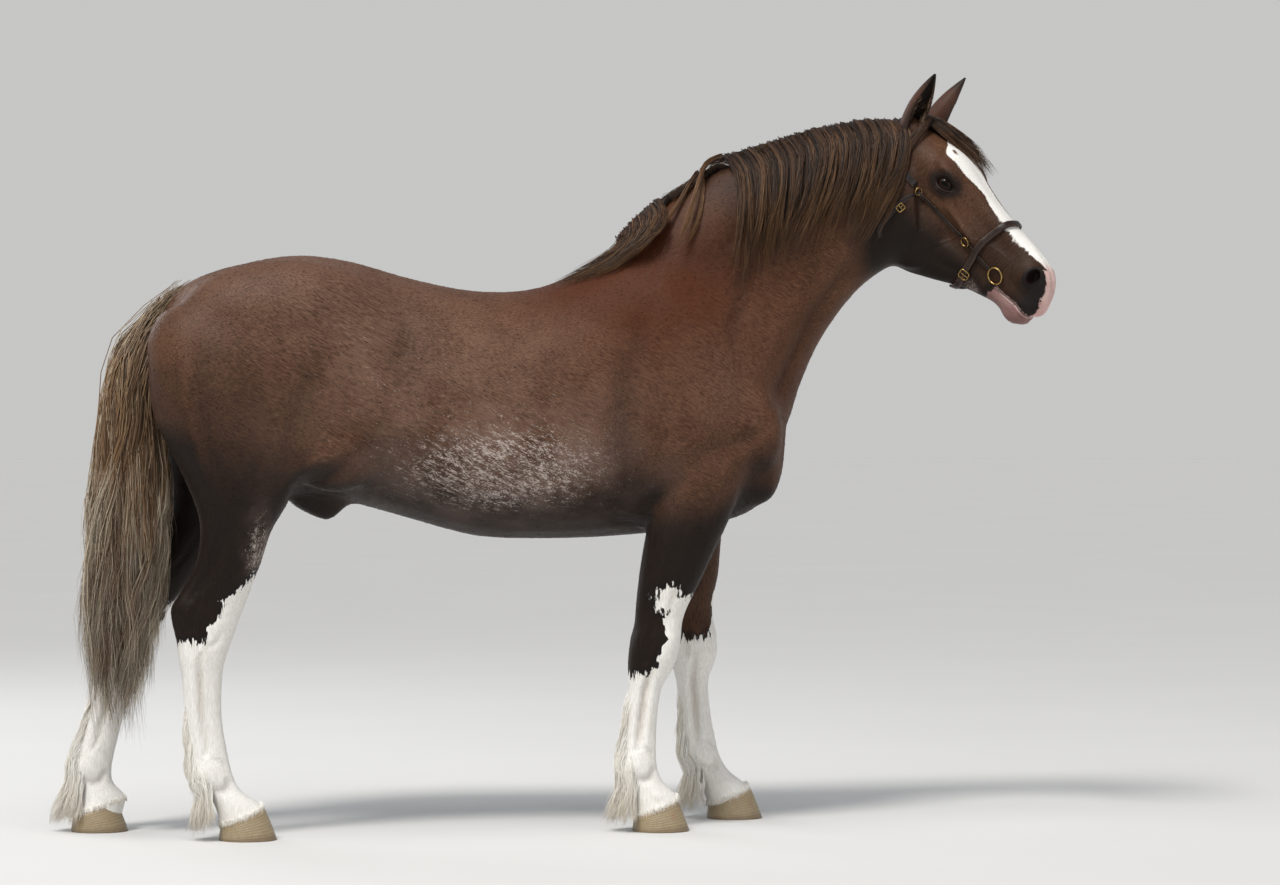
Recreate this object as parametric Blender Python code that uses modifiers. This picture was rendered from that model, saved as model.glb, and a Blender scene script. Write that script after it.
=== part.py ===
"""A life-size standing model of a Welsh Cob stallion, in metres.

The horse faces +X with its left side towards +Y, and stands on the plane z = 0.
The flesh is modelled whole, from sections along the trunk, neck, head and limbs,
and is then parted by thin cuts into the pieces that a person would name.
"""

import math
import random
from collections import namedtuple

import bmesh
import bpy
from mathutils import Matrix, Vector
from mathutils.bvhtree import BVHTree

# Heights of the cuts that part the limbs
FORE_LIMB_CUT = 0.735
HIND_LIMB_CUT = 0.822
KNEE_CUT = 0.400
HOCK_CUT = 0.455
CORONET_HEIGHT = 0.062
CORONET_SLOPE = math.radians(21)

# Distances of the hooves from the middle plane, and their centres along the floor
FORE_HOOF_Y = 0.145
HIND_HOOF_Y = 0.150
HOOF_PLACES = {
    "front_right": (0.262, -FORE_HOOF_Y),
    "front_left": (0.524, FORE_HOOF_Y),
    "hind_right": (-0.805, -HIND_HOOF_Y),
    "hind_left": (-1.150, HIND_HOOF_Y),
}

# The clear gap that touching pieces keep
GAP = 0.0003

# How far the whole stance is moved, so that its box is centred on the origin
STANCE_OFFSET = Vector((0.004, 0.055, 0.0))

# Mesh sizes: the voxels that fuse the flesh, its smoothing, and the faces that are left of it
FLESH_VOXEL = 0.0065
FLESH_SMOOTHING = 6
TRUNK_SMOOTHING = 90
FLESH_FACES = 3350

# Eyes, ears and the straps of the headcollar
EYE_RADIUS = 0.0225
EYE_PLACE = (0.190, -0.018, 0.073)
LID_THICKNESS = 0.0036
EAR_WIDTH = 0.058
EAR_WALL = 0.0040
STRAP_THICKNESS = 0.0022
STRAP_LIFT = 0.0024
RING_LIFT = 0.0016
NOSEBAND_THICKNESS = 0.0050
NOSEBAND_LIFT = 0.0066

Ring = namedtuple("Ring", "top bottom half_width egg square")


def ring(top, bottom, half_width, egg=0.0, square=1.0):
    """A section between two outline points. A positive egg is wider at the top."""
    return Ring(Vector(top), Vector(bottom), half_width, egg, square)


def clear_scene():
    for thing in list(bpy.data.objects):
        bpy.data.objects.remove(thing, do_unlink=True)


def collection(name):
    made = bpy.data.collections.new(name)
    bpy.context.scene.collection.children.link(made)
    return made


def as_object(name, shape, home):
    """Turns a bmesh into an object in the collection, with its faces outwards."""
    bmesh.ops.recalc_face_normals(shape, faces=shape.faces)
    mesh = bpy.data.meshes.new(name)
    shape.to_mesh(mesh)
    shape.free()
    made = bpy.data.objects.new(name, mesh)
    home.objects.link(made)
    return made


def settle(thing):
    """Replaces an object's mesh by what its modifiers make of it."""
    graph = bpy.context.evaluated_depsgraph_get()
    graph.update()
    mesh = bpy.data.meshes.new_from_object(thing.evaluated_get(graph))
    thing.modifiers.clear()
    thing.data = mesh
    return thing


def signed_power(value, power):
    return math.copysign(abs(value) ** power, value)


def between(before, first, second, after, share):
    """A smooth curve through four values, at a share of the way from first to second."""
    return 0.5 * (
        2 * first
        + (second - before) * share
        + (2 * before - 5 * first + 4 * second - after) * share**2
        + (3 * first - before - 3 * second + after) * share**3
    )


def refined(rings, steps):
    """Adds rings on smooth curves through the given ones."""
    made = []
    for i in range(len(rings) - 1):
        four = [rings[min(max(i + k, 0), len(rings) - 1)] for k in (-1, 0, 1, 2)]
        for step in range(steps):
            fields = [between(*values, step / steps) for values in zip(*four)]
            made.append(Ring(*fields))
    made.append(rings[-1])
    return made


def loft(name, rings, home, sides=24, steps=4):
    """A closed tube through the rings, with flat ends."""
    rings = refined(rings, steps)
    centres = [(r.top + r.bottom) / 2 for r in rings]
    shape = bmesh.new()
    loops = []
    for i, r in enumerate(rings):
        ahead = centres[min(i + 1, len(rings) - 1)] - centres[max(i - 1, 0)]
        up = (r.top - r.bottom) / 2
        side = up.cross(ahead).normalized() * r.half_width
        loop = []
        for k in range(sides):
            turn = 2 * math.pi * k / sides
            v = signed_power(math.cos(turn), r.square)
            h = signed_power(math.sin(turn), r.square)
            point = centres[i] + up * v + side * h * (1 + r.egg * v)
            loop.append(shape.verts.new(point))
        loops.append(loop)
    for first, second in zip(loops, loops[1:]):
        for k in range(sides):
            shape.faces.new((first[k], first[k - 1], second[k - 1], second[k]))
    shape.faces.new(loops[0])
    shape.faces.new(list(reversed(loops[-1])))
    return as_object(name, shape, home)


def ellipsoid(name, centre, radii, home, axes=Matrix.Identity(3), fineness=4):
    shape = bmesh.new()
    bmesh.ops.create_icosphere(shape, subdivisions=fineness, radius=1.0)
    place = Matrix.Translation(Vector(centre)) @ axes.to_4x4()
    bmesh.ops.transform(shape, matrix=place @ Matrix.Diagonal((*radii, 1.0)), verts=shape.verts)
    return as_object(name, shape, home)


def leaning(degrees):
    """Axes whose third one leans back from the upright by that angle."""
    return Matrix.Rotation(math.radians(-degrees), 3, "Y")


# The trunk: x, the top and bottom of the outline there, half its width, egg and squareness
TRUNK = [
    (-1.005, 1.340, 1.150, 0.060, 0.00, 1.00),
    (-0.965, 1.385, 1.040, 0.140, 0.00, 1.00),
    (-0.900, 1.425, 0.930, 0.205, 0.10, 0.95),
    (-0.800, 1.455, 0.880, 0.250, 0.10, 0.90),
    (-0.660, 1.480, 0.860, 0.275, 0.08, 0.90),
    (-0.520, 1.466, 0.845, 0.280, 0.00, 0.92),
    (-0.360, 1.422, 0.800, 0.292, -0.06, 0.95),
    (-0.190, 1.390, 0.754, 0.308, -0.08, 0.97),
    (-0.030, 1.397, 0.746, 0.314, -0.10, 0.98),
    (0.100, 1.450, 0.748, 0.298, -0.16, 1.00),
    (0.220, 1.512, 0.755, 0.264, -0.22, 1.00),
    (0.340, 1.545, 0.765, 0.232, -0.20, 1.00),
    (0.460, 1.480, 0.785, 0.208, -0.12, 1.00),
    (0.550, 1.340, 0.820, 0.170, 0.00, 1.00),
    (0.618, 1.200, 0.890, 0.100, 0.00, 1.00),
]

# The neck: crest x, y, z, underside x, y, z, half width
NECK = [
    (0.080, 0.000, 1.420, 0.500, 0.000, 0.960, 0.200),
    (0.200, 0.000, 1.524, 0.625, 0.000, 1.020, 0.172),
    (0.320, -0.004, 1.632, 0.668, -0.003, 1.130, 0.148),
    (0.450, -0.015, 1.712, 0.712, -0.015, 1.235, 0.132),
    (0.580, -0.038, 1.757, 0.768, -0.042, 1.330, 0.120),
    (0.710, -0.072, 1.798, 0.822, -0.084, 1.402, 0.112),
    (0.830, -0.110, 1.822, 0.880, -0.128, 1.450, 0.104),
    (0.940, -0.142, 1.820, 0.960, -0.172, 1.500, 0.092),
]

# A fore limb: height, how far it reaches in front of and behind its axis, half width
FORE_LIMB = [
    (0.980, 0.120, 0.110, 0.085),
    (0.880, 0.128, 0.105, 0.092),
    (0.800, 0.114, 0.099, 0.088),
    (0.720, 0.095, 0.094, 0.078),
    (0.650, 0.080, 0.087, 0.068),
    (0.580, 0.062, 0.077, 0.057),
    (0.535, 0.057, 0.070, 0.051),
    (0.490, 0.064, 0.070, 0.055),
    (0.440, 0.064, 0.066, 0.053),
    (0.400, 0.053, 0.058, 0.043),
    (0.360, 0.040, 0.049, 0.034),
    (0.280, 0.039, 0.047, 0.031),
    (0.215, 0.043, 0.050, 0.036),
    (0.170, 0.048, 0.054, 0.044),
    (0.130, 0.043, 0.042, 0.039),
    (0.095, 0.048, 0.046, 0.045),
    (0.070, 0.054, 0.055, 0.054),
    (0.020, 0.058, 0.058, 0.058),
]
FORE_AXIS = [
    (0.980, 0.380), (0.800, 0.335), (0.580, 0.280), (0.475, 0.256), (0.360, 0.232),
    (0.280, 0.222), (0.170, 0.212), (0.070, 0.250), (0.020, 0.262),
]
LEFT_FORE_SHIFT = [
    (0.980, 0.000), (0.800, 0.055), (0.650, 0.112), (0.475, 0.164),
    (0.300, 0.203), (0.170, 0.231), (0.020, 0.262),
]
FORE_Y = [(0.980, 0.150), (0.800, 0.152), (0.475, 0.143), (0.045, FORE_HOOF_Y), (0.020, FORE_HOOF_Y)]

# A hind limb, the same way, from the buttock down
HIND_LIMB = [
    (1.340, 0.110, 0.180, 0.090),
    (1.270, 0.210, 0.231, 0.125),
    (1.190, 0.250, 0.244, 0.145),
    (1.110, 0.265, 0.243, 0.150),
    (1.030, 0.240, 0.220, 0.145),
    (0.960, 0.190, 0.185, 0.134),
    (0.900, 0.145, 0.146, 0.120),
    (0.840, 0.122, 0.110, 0.106),
    (0.780, 0.095, 0.088, 0.090),
    (0.700, 0.083, 0.085, 0.072),
    (0.640, 0.083, 0.094, 0.059),
    (0.590, 0.082, 0.106, 0.053),
    (0.550, 0.078, 0.094, 0.051),
    (0.500, 0.068, 0.074, 0.049),
    (0.455, 0.060, 0.062, 0.045),
    (0.410, 0.050, 0.056, 0.038),
    (0.310, 0.044, 0.053, 0.034),
    (0.220, 0.048, 0.053, 0.038),
    (0.165, 0.054, 0.056, 0.045),
    (0.125, 0.044, 0.044, 0.040),
    (0.090, 0.049, 0.050, 0.046),
    (0.070, 0.055, 0.057, 0.055),
    (0.020, 0.060, 0.060, 0.058),
]
HIND_AXIS = [
    (1.340, -0.830), (1.190, -0.805), (0.960, -0.800), (0.780, -0.831), (0.700, -0.845),
    (0.570, -0.893), (0.455, -0.912), (0.310, -0.905), (0.165, -0.888), (0.070, -0.820), (0.020, -0.805),
]
LEFT_HIND_SHIFT = [
    (1.340, 0.000), (0.960, 0.000), (0.570, -0.150), (0.455, -0.162),
    (0.310, -0.212), (0.165, -0.275), (0.020, -0.345),
]
HIND_Y = [
    (1.340, 0.115), (1.190, 0.138), (1.030, 0.152), (0.840, 0.160),
    (0.570, 0.152), (0.020, HIND_HOOF_Y),
]

# Masses of muscle and bone on both sides of the trunk: centre, radii and backward lean in degrees
TRUNK_MASSES = [
    ("shoulder_blade", (0.360, 0.145, 1.270), (0.120, 0.062, 0.290), 38),
    ("triceps", (0.275, 0.190, 1.030), (0.160, 0.070, 0.170), 20),
    ("shoulder_point", (0.500, 0.135, 1.055), (0.088, 0.080, 0.140), 20),
    ("breast", (0.535, 0.070, 0.945), (0.070, 0.080, 0.115), 10),
    ("croup", (-0.690, 0.130, 1.310), (0.290, 0.135, 0.158), 0),
    ("hip", (-0.490, 0.190, 1.290), (0.100, 0.075, 0.090), 0),
    ("flank", (-0.580, 0.180, 1.000), (0.130, 0.075, 0.130), -35),
]

# The head has its own axes: from the poll along the face, and up out of the forehead
POLL = Vector((0.965, -0.145, 1.822))
HEAD_TURN = math.radians(42)
HEAD_DROOP = math.radians(52)
HEAD_FORWARD = Vector((math.cos(HEAD_TURN), -math.sin(HEAD_TURN), 0.0))
UP = Vector((0, 0, 1))
ALONG_FACE = HEAD_FORWARD * math.cos(HEAD_DROOP) - UP * math.sin(HEAD_DROOP)
OUT_OF_FACE = HEAD_FORWARD * math.sin(HEAD_DROOP) + UP * math.cos(HEAD_DROOP)
LEFT_OF_FACE = OUT_OF_FACE.cross(ALONG_FACE)

# The skull and upper jaw: distance from the poll, top and bottom of the section, half width, egg
SKULL = [
    (-0.040, -0.015, -0.170, 0.074, 0.00),
    (0.020, 0.012, -0.170, 0.080, 0.05),
    (0.075, 0.033, -0.165, 0.090, 0.12),
    (0.130, 0.047, -0.155, 0.096, 0.20),
    (0.180, 0.050, -0.140, 0.094, 0.22),
    (0.240, 0.046, -0.125, 0.080, 0.12),
    (0.310, 0.045, -0.118, 0.067, 0.05),
    (0.390, 0.050, -0.110, 0.058, 0.00),
    (0.450, 0.057, -0.100, 0.052, 0.00),
    (0.500, 0.060, -0.090, 0.051, 0.00),
    (0.540, 0.052, -0.080, 0.050, 0.00),
    (0.572, 0.028, -0.070, 0.044, 0.00),
    (0.592, -0.004, -0.060, 0.028, 0.00),
]

# The lower jaw, down to the chin
JAW = [
    (0.060, -0.110, -0.236, 0.050, 0.00),
    (0.120, -0.100, -0.278, 0.064, 0.00),
    (0.190, -0.100, -0.296, 0.070, 0.10),
    (0.260, -0.090, -0.284, 0.066, 0.20),
    (0.330, -0.080, -0.238, 0.055, 0.25),
    (0.400, -0.070, -0.182, 0.044, 0.20),
    (0.460, -0.065, -0.140, 0.038, 0.10),
    (0.500, -0.065, -0.122, 0.036, 0.00),
    (0.540, -0.065, -0.118, 0.034, 0.00),
    (0.568, -0.070, -0.104, 0.026, 0.00),
]

# Masses on both sides of the head: place along, out of and beside the face, and radii
HEAD_MASSES = [
    ("brow", (0.172, 0.006, 0.078), (0.052, 0.030, 0.024)),
    ("cheek", (0.205, -0.175, 0.046), (0.110, 0.106, 0.036)),
    ("cheek_ridge", (0.285, -0.050, 0.058), (0.095, 0.014, 0.014)),
    ("nostril_rim", (0.522, 0.006, 0.034), (0.046, 0.042, 0.026)),
    ("upper_lip", (0.562, -0.036, 0.020), (0.034, 0.036, 0.032)),
    ("ear_root", (0.010, -0.016, 0.050), (0.044, 0.034, 0.032)),
]
CHIN = ((0.534, -0.108, 0.0), (0.036, 0.025, 0.036))


def at_height(table, height):
    """Reads a falling table of (height, value) with straight runs between its rows."""
    for (high, first), (low, second) in zip(table, table[1:]):
        if height >= low:
            return first + (second - first) * (high - height) / (high - low)
    return table[-1][1]


def limb_rings(stations, axis, spread, shift, side):
    """Level rings down one limb. side is -1 for the right limb and 1 for the left."""
    rings = []
    for height, before, behind, half_width in stations:
        x = at_height(axis, height) + (at_height(shift, height) if side > 0 else 0.0)
        y = side * at_height(spread, height)
        rings.append(ring((x + before, y, height), (x - behind, y, height), half_width, 0.0, 0.92))
    return rings


def on_head(along, out, beside=0.0):
    """A point of the head, from its own measures."""
    return POLL + ALONG_FACE * along + OUT_OF_FACE * out + LEFT_OF_FACE * beside


HEAD_AXES = Matrix((ALONG_FACE, OUT_OF_FACE, LEFT_OF_FACE)).transposed()


def trunk_forms(home):
    rings = [ring((x, 0, top), (x, 0, low), width, egg, square) for x, top, low, width, egg, square in TRUNK]
    forms = [loft("trunk", rings, home, sides=32)]
    for name, (x, y, z), radii, lean in TRUNK_MASSES:
        for side in (-1, 1):
            forms.append(ellipsoid(name, (x, side * y, z), radii, home, leaning(lean)))
    sheath = [
        ring((-0.480, 0, 0.900), (-0.505, 0, 0.866), 0.050),
        ring((-0.540, 0, 0.880), (-0.540, 0, 0.816), 0.048),
        ring((-0.640, 0, 0.905), (-0.580, 0, 0.796), 0.046),
        ring((-0.740, 0, 0.950), (-0.660, 0, 0.832), 0.050),
    ]
    forms.append(loft("sheath", sheath, home, sides=16))
    return forms


def neck_forms(home):
    rings = [ring(row[0:3], row[3:6], row[6], -0.16, 0.95) for row in NECK]
    return [loft("neck", rings, home, sides=28)]


def limb_forms(home):
    forms = []
    for side in (-1, 1):
        fore = limb_rings(FORE_LIMB, FORE_AXIS, FORE_Y, LEFT_FORE_SHIFT, side)
        hind = limb_rings(HIND_LIMB, HIND_AXIS, HIND_Y, LEFT_HIND_SHIFT, side)
        forms.append(loft("fore_limb", fore, home, sides=20))
        forms.append(loft("hind_limb", hind, home, sides=20))
    return forms


def head_forms(home):
    forms = []
    for name, table in (("skull", SKULL), ("jaw", JAW)):
        rings = [ring(on_head(l, top), on_head(l, low), width, egg, 0.9) for l, top, low, width, egg in table]
        forms.append(loft(name, rings, home, sides=24))
    for name, (along, out, beside), radii in HEAD_MASSES:
        for side in (-1, 1):
            place = on_head(along, out, side * beside)
            forms.append(ellipsoid(name, place, radii, home, HEAD_AXES))
    forms.append(ellipsoid("chin", on_head(*CHIN[0]), CHIN[1], home, HEAD_AXES))
    return forms


def joined(name, pieces, home):
    """One object that holds the meshes of all the pieces, which are removed."""
    shape = bmesh.new()
    for piece in pieces:
        shape.from_mesh(piece.data)
        bpy.data.objects.remove(piece, do_unlink=True)
    return as_object(name, shape, home)


def trunk_weight(point):
    """How much more a point of the hide is smoothed: fully on the trunk, not on head and limbs."""
    above_limbs = (point.z - 0.74) / 0.14
    behind_head = (0.93 - point.x) / 0.12
    return min(max(min(above_limbs, behind_head), 0.0), 1.0)


def fused_flesh(forms, home):
    """Fuses the forms under one hide, which rounds the creases between them."""
    flesh = joined("flesh", forms, home)
    hide = flesh.modifiers.new("hide", "REMESH")
    hide.mode = "VOXEL"
    hide.voxel_size = FLESH_VOXEL
    settle(flesh)
    broad = flesh.vertex_groups.new(name="trunk")
    for vertex in flesh.data.vertices:
        broad.add([vertex.index], trunk_weight(vertex.co), "REPLACE")
    soften = flesh.modifiers.new("soften", "SMOOTH")
    soften.factor = 0.5
    soften.iterations = FLESH_SMOOTHING
    blend = flesh.modifiers.new("blend the muscles", "SMOOTH")
    blend.factor = 0.5
    blend.iterations = TRUNK_SMOOTHING
    blend.vertex_group = broad.name
    fewer = flesh.modifiers.new("fewer faces", "DECIMATE")
    fewer.ratio = FLESH_FACES / (2 * len(flesh.data.polygons))
    settle(flesh)
    flesh.vertex_groups.clear()
    return flesh


def copied(thing, name):
    made = thing.copy()
    made.data = thing.data.copy()
    made.name = name
    for home in thing.users_collection:
        home.objects.link(made)
    return made


def enclosed_volume(faces):
    """The volume that a closed set of triangles or flat faces encloses."""
    total = 0.0
    for face in faces:
        total += face.calc_center_median().dot(face.normal) * face.calc_area() / 3
    return abs(total)


def keep_largest(thing):
    """Removes every closed surface of a mesh but the one that holds most."""
    shape = bmesh.new()
    shape.from_mesh(thing.data)
    bmesh.ops.triangulate(shape, faces=shape.faces)
    waiting = set(shape.faces)
    surfaces = []
    while waiting:
        front = [waiting.pop()]
        surface = []
        while front:
            face = front.pop()
            surface.append(face)
            for edge in face.edges:
                if len(edge.link_faces) > 2:
                    continue
                for other in edge.link_faces:
                    if other in waiting:
                        waiting.remove(other)
                        front.append(other)
        surfaces.append(surface)
    surfaces.sort(key=enclosed_volume)
    scraps = [face for surface in surfaces[:-1] for face in surface]
    bmesh.ops.delete(shape, geom=scraps, context="FACES")
    loose = [vert for vert in shape.verts if not vert.link_faces]
    bmesh.ops.delete(shape, geom=loose, context="VERTS")
    shape.to_mesh(thing.data)
    shape.free()


def combine(thing, pieces, operation):
    """Joins closed pieces to a mesh, or cuts them from it, in one step, and removes them."""
    group = bpy.data.collections.new("pieces")
    for piece in pieces:
        group.objects.link(piece)
    step = thing.modifiers.new("combine", "BOOLEAN")
    step.operation = operation
    step.solver = "MANIFOLD"
    step.operand_type = "COLLECTION"
    step.collection = group
    settle(thing)
    for piece in pieces:
        bpy.data.objects.remove(piece, do_unlink=True)
    bpy.data.collections.remove(group)
    keep_largest(thing)
    return thing


def swelled(thing, amount):
    """A copy whose faces stand out by that amount, for cutting clear of it."""
    made = copied(thing, thing.name + "_swelled")
    grow = made.modifiers.new("grow", "DISPLACE")
    grow.strength = amount
    grow.mid_level = 0.0
    return settle(made)


def clear_of(thing, neighbour, amount=2 * GAP):
    """Cuts a mesh back from a neighbour that it would touch."""
    return combine(thing, [swelled(neighbour, amount)], "DIFFERENCE")


def beyond(point, normal, reach, home, setback=0.0):
    """A cube that covers what lies past a plane, out to a reach."""
    normal = Vector(normal).normalized()
    shape = bmesh.new()
    turn = normal.to_track_quat("Z", "Y").to_matrix().to_4x4()
    centre = Vector(point) + normal * (reach + setback)
    bmesh.ops.create_cube(shape, size=2 * reach, matrix=Matrix.Translation(centre) @ turn)
    return as_object("beyond", shape, home)


def block(low, high, home):
    """An upright block between two corners."""
    low, high = Vector(low), Vector(high)
    shape = bmesh.new()
    bmesh.ops.create_cube(shape, size=1.0)
    bmesh.ops.scale(shape, vec=high - low, verts=shape.verts)
    bmesh.ops.translate(shape, vec=(low + high) / 2, verts=shape.verts)
    return as_object("block", shape, home)


def parted(whole, name, inside, outside):
    """Takes what lies inside one cutter out of the whole, as a piece of its own."""
    piece = copied(whole, name)
    keep = piece.modifiers.new("keep", "BOOLEAN")
    keep.operation = "INTERSECT"
    keep.solver = "MANIFOLD"
    keep.object = inside
    settle(piece)
    keep_largest(piece)
    bpy.data.objects.remove(inside, do_unlink=True)
    combine(whole, [outside], "DIFFERENCE")
    return piece


# The planes that part the head from the neck and the neck from the trunk
HEAD_CUT_POINT = POLL - HEAD_FORWARD * 0.080 - UP * 0.185
HEAD_CUT_NORMAL = HEAD_FORWARD * math.cos(math.radians(10.7)) - UP * math.sin(math.radians(10.7))
NECK_CUT_POINT = Vector((0.408, 0.0, 1.290))
NECK_CUT_NORMAL = Vector((0.733, 0.0, 0.680))


def parted_flesh(flesh, horse):
    """Parts the whole flesh into head, neck, trunk and the lengths of the four limbs."""
    nodes = {}
    for name, point, normal, reach in (
        ("head", HEAD_CUT_POINT, HEAD_CUT_NORMAL, 0.5),
        ("neck", NECK_CUT_POINT, NECK_CUT_NORMAL, 0.6),
    ):
        inside = beyond(point, normal, reach, horse)
        outside = beyond(point, normal, reach, horse, setback=-GAP)
        nodes[name] = parted(flesh, name, inside, outside)
    upper_limbs = (
        ("forearm", -0.10, 0.75, FORE_LIMB_CUT),
        ("gaskin", -1.50, -0.655, HIND_LIMB_CUT),
    )
    for limb, rear, front, top in upper_limbs:
        for side, y in (("right", -0.6), ("left", 0.6)):
            low = (rear, min(y, 0.0), -0.2)
            inside = block(low, (front, max(y, 0.0), top), horse)
            outside = block(low, (front, max(y, 0.0), top + GAP), horse)
            nodes[f"{limb}_{side}"] = parted(flesh, f"{limb}_{side}", inside, outside)
    for upper, end, cut in (("forearm", "front", KNEE_CUT), ("gaskin", "hind", HOCK_CUT)):
        for side in ("right", "left"):
            name = f"cannon_{end}_{side}"
            leg = nodes[f"{upper}_{side}"]
            inside = block((-2, -1, -1), (1, 1, cut), horse)
            outside = block((-2, -1, -1), (1, 1, cut + GAP), horse)
            nodes[name] = parted(leg, name, inside, outside)
            x, y = HOOF_PLACES[f"{end}_{side}"]
            sole_side = beyond((x, y, CORONET_HEIGHT), -coronet_normal(), 0.3, horse)
            combine(nodes[name], [sole_side], "DIFFERENCE")
    flesh.name = "torso"
    nodes["torso"] = flesh
    return nodes


def coronet_normal():
    return Vector((-math.sin(CORONET_SLOPE), 0.0, math.cos(CORONET_SLOPE)))


# A hoof: how high up the wall, the reach in front and behind, and the half width
HOOF_WALL = [
    (0.00, 0.082, 0.066, 0.070),
    (0.50, 0.066, 0.064, 0.064),
    (1.00, 0.050, 0.061, 0.056),
]


def hoof(name, x, y, home):
    """The horn of one hoof, flat on the floor, its top on the slope of the coronet."""
    rings = []
    for share, before, behind, half_width in HOOF_WALL:
        rise = [CORONET_HEIGHT - GAP + reach * math.tan(CORONET_SLOPE) for reach in (before, -behind)]
        front = (x + before, y, share * rise[0])
        back = (x - behind, y, share * rise[1])
        rings.append(ring(front, back, half_width, 0.0, 0.92))
    return loft(name, rings, home, sides=20, steps=1)


# An ear's sections from its root to its tip: how far up, share of the full width, depth of the cup
EAR_PROFILE = [
    (0.00, 0.64, 0.95),
    (0.22, 0.88, 0.75),
    (0.45, 0.96, 0.62),
    (0.66, 0.76, 0.56),
    (0.84, 0.44, 0.50),
    (0.97, 0.12, 0.45),
]
EAR_ROOT = (0.012, -0.030, 0.060)
EAR_REACH = (0.094, 0.156, 0.030)
EARS_ASIDE = 0.006


def ear(name, side, head, home):
    """A pricked ear, cupped forwards and outwards, its root seated on the head."""
    root = on_head(EAR_ROOT[0], EAR_ROOT[1], side * EAR_ROOT[2] + EARS_ASIDE)
    forward, upward, sideways = EAR_REACH
    tip = root + HEAD_FORWARD * forward + UP * upward + LEFT_OF_FACE * (side * sideways + EARS_ASIDE)
    axis = (tip - root).normalized()
    facing = (HEAD_FORWARD * 0.75 + LEFT_OF_FACE * side * 0.66 - UP * 0.1).normalized()
    facing = (facing - axis * facing.dot(axis)).normalized()
    across = axis.cross(facing)
    shape = bmesh.new()
    loops = []
    points = 9
    for share, width, depth in EAR_PROFILE:
        half = EAR_WIDTH / 2 * width
        wall = min(EAR_WALL, half * 0.45) * (1.6 - 0.6 * share)
        bend = -facing * 0.006 * math.sin(math.pi * share)
        centre = root + (tip - root) * share + bend
        opening = math.radians(34 + 14 * math.sin(math.pi * min(share * 1.2, 1.0)))
        outer = []
        inner = []
        for k in range(points):
            turn = opening + (2 * math.pi - 2 * opening) * k / (points - 1)
            direction = facing * math.cos(turn) * depth * 1.5 + across * math.sin(turn)
            outer.append(shape.verts.new(centre + direction * half))
            inner.append(shape.verts.new(centre + direction * (half - wall)))
        loops.append(outer + list(reversed(inner)))
    for first, second in zip(loops, loops[1:]):
        for k in range(len(first)):
            shape.faces.new((first[k], first[k - 1], second[k - 1], second[k]))
    shape.faces.new(loops[0])
    shape.faces.new(list(reversed(loops[-1])))
    made = as_object(name, shape, home)
    return clear_of(made, head)


def eyeball(name, side, home):
    place = on_head(*EYE_PLACE[:2], side * EYE_PLACE[2])
    return ellipsoid(name, place, (EYE_RADIUS,) * 3, home, HEAD_AXES, 2)


# The opening between the lids, and how far its cutter reaches from the middle of the eye
LID_HALF_LENGTH = 0.0205
LID_HALF_HEIGHT = 0.0125
LID_CUT_START = 0.002
LID_CUT_END = 0.060


def almond(side, home):
    """A cutter for the opening between the lids: a lens-shaped prism out of the eye."""
    place = on_head(*EYE_PLACE[:2], side * EYE_PLACE[2])
    outward = (LEFT_OF_FACE * side * 0.93 + HEAD_FORWARD * 0.30 + UP * 0.02).normalized()
    along = ALONG_FACE * 0.90 + HEAD_FORWARD * 0.42
    along = (along - outward * along.dot(outward)).normalized()
    across = outward.cross(along)
    shape = bmesh.new()
    edge = []
    corners = 12
    for k in range(corners):
        turn = 2 * math.pi * k / corners
        height = signed_power(math.sin(turn), 1.25) * LID_HALF_HEIGHT
        edge.append(place + along * math.cos(turn) * LID_HALF_LENGTH + across * height)
    near = [shape.verts.new(point + outward * LID_CUT_START) for point in edge]
    far = [shape.verts.new(point + outward * LID_CUT_END) for point in edge]
    for k in range(corners):
        shape.faces.new((near[k], near[k - 1], far[k - 1], far[k]))
    shape.faces.new(near)
    shape.faces.new(list(reversed(far)))
    return as_object("almond", shape, home)


# The line of the mouth along and out of the face, half the width of its slot and half its breadth
MOUTH_LINE = [(0.640, -0.070), (0.585, -0.064), (0.545, -0.068), (0.500, -0.080), (0.462, -0.083)]
MOUTH_SLOT = 0.0012
MOUTH_REACH = 0.08


def mouth_slot(home):
    """A cutter for the line of the mouth: a thin bent slab with its middle left out."""
    shape = bmesh.new()
    loops = []
    for along, out in MOUTH_LINE:
        low, high = out - MOUTH_SLOT, out + MOUTH_SLOT
        corners = ((low, -MOUTH_REACH), (high, -MOUTH_REACH), (high, MOUTH_REACH), (low, MOUTH_REACH))
        loops.append([shape.verts.new(on_head(along, rise, beside)) for rise, beside in corners])
    for first, second in zip(loops, loops[1:]):
        for k in range(4):
            shape.faces.new((first[k], first[k - 1], second[k - 1], second[k]))
    shape.faces.new(loops[0])
    shape.faces.new(list(reversed(loops[-1])))
    slab = as_object("mouth", shape, home)
    middle = ellipsoid("middle", on_head(0.470, -0.070), (0.104, 0.060, 0.034), home, HEAD_AXES, 3)
    return combine(slab, [middle], "DIFFERENCE")


# A nostril: its place, its radii and how far it leans back
NOSTRIL_PLACE = (0.527, 0.022, 0.052)
NOSTRIL_RADII = (0.014, 0.021, 0.024)
NOSTRIL_LEAN = math.radians(-28)


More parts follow.
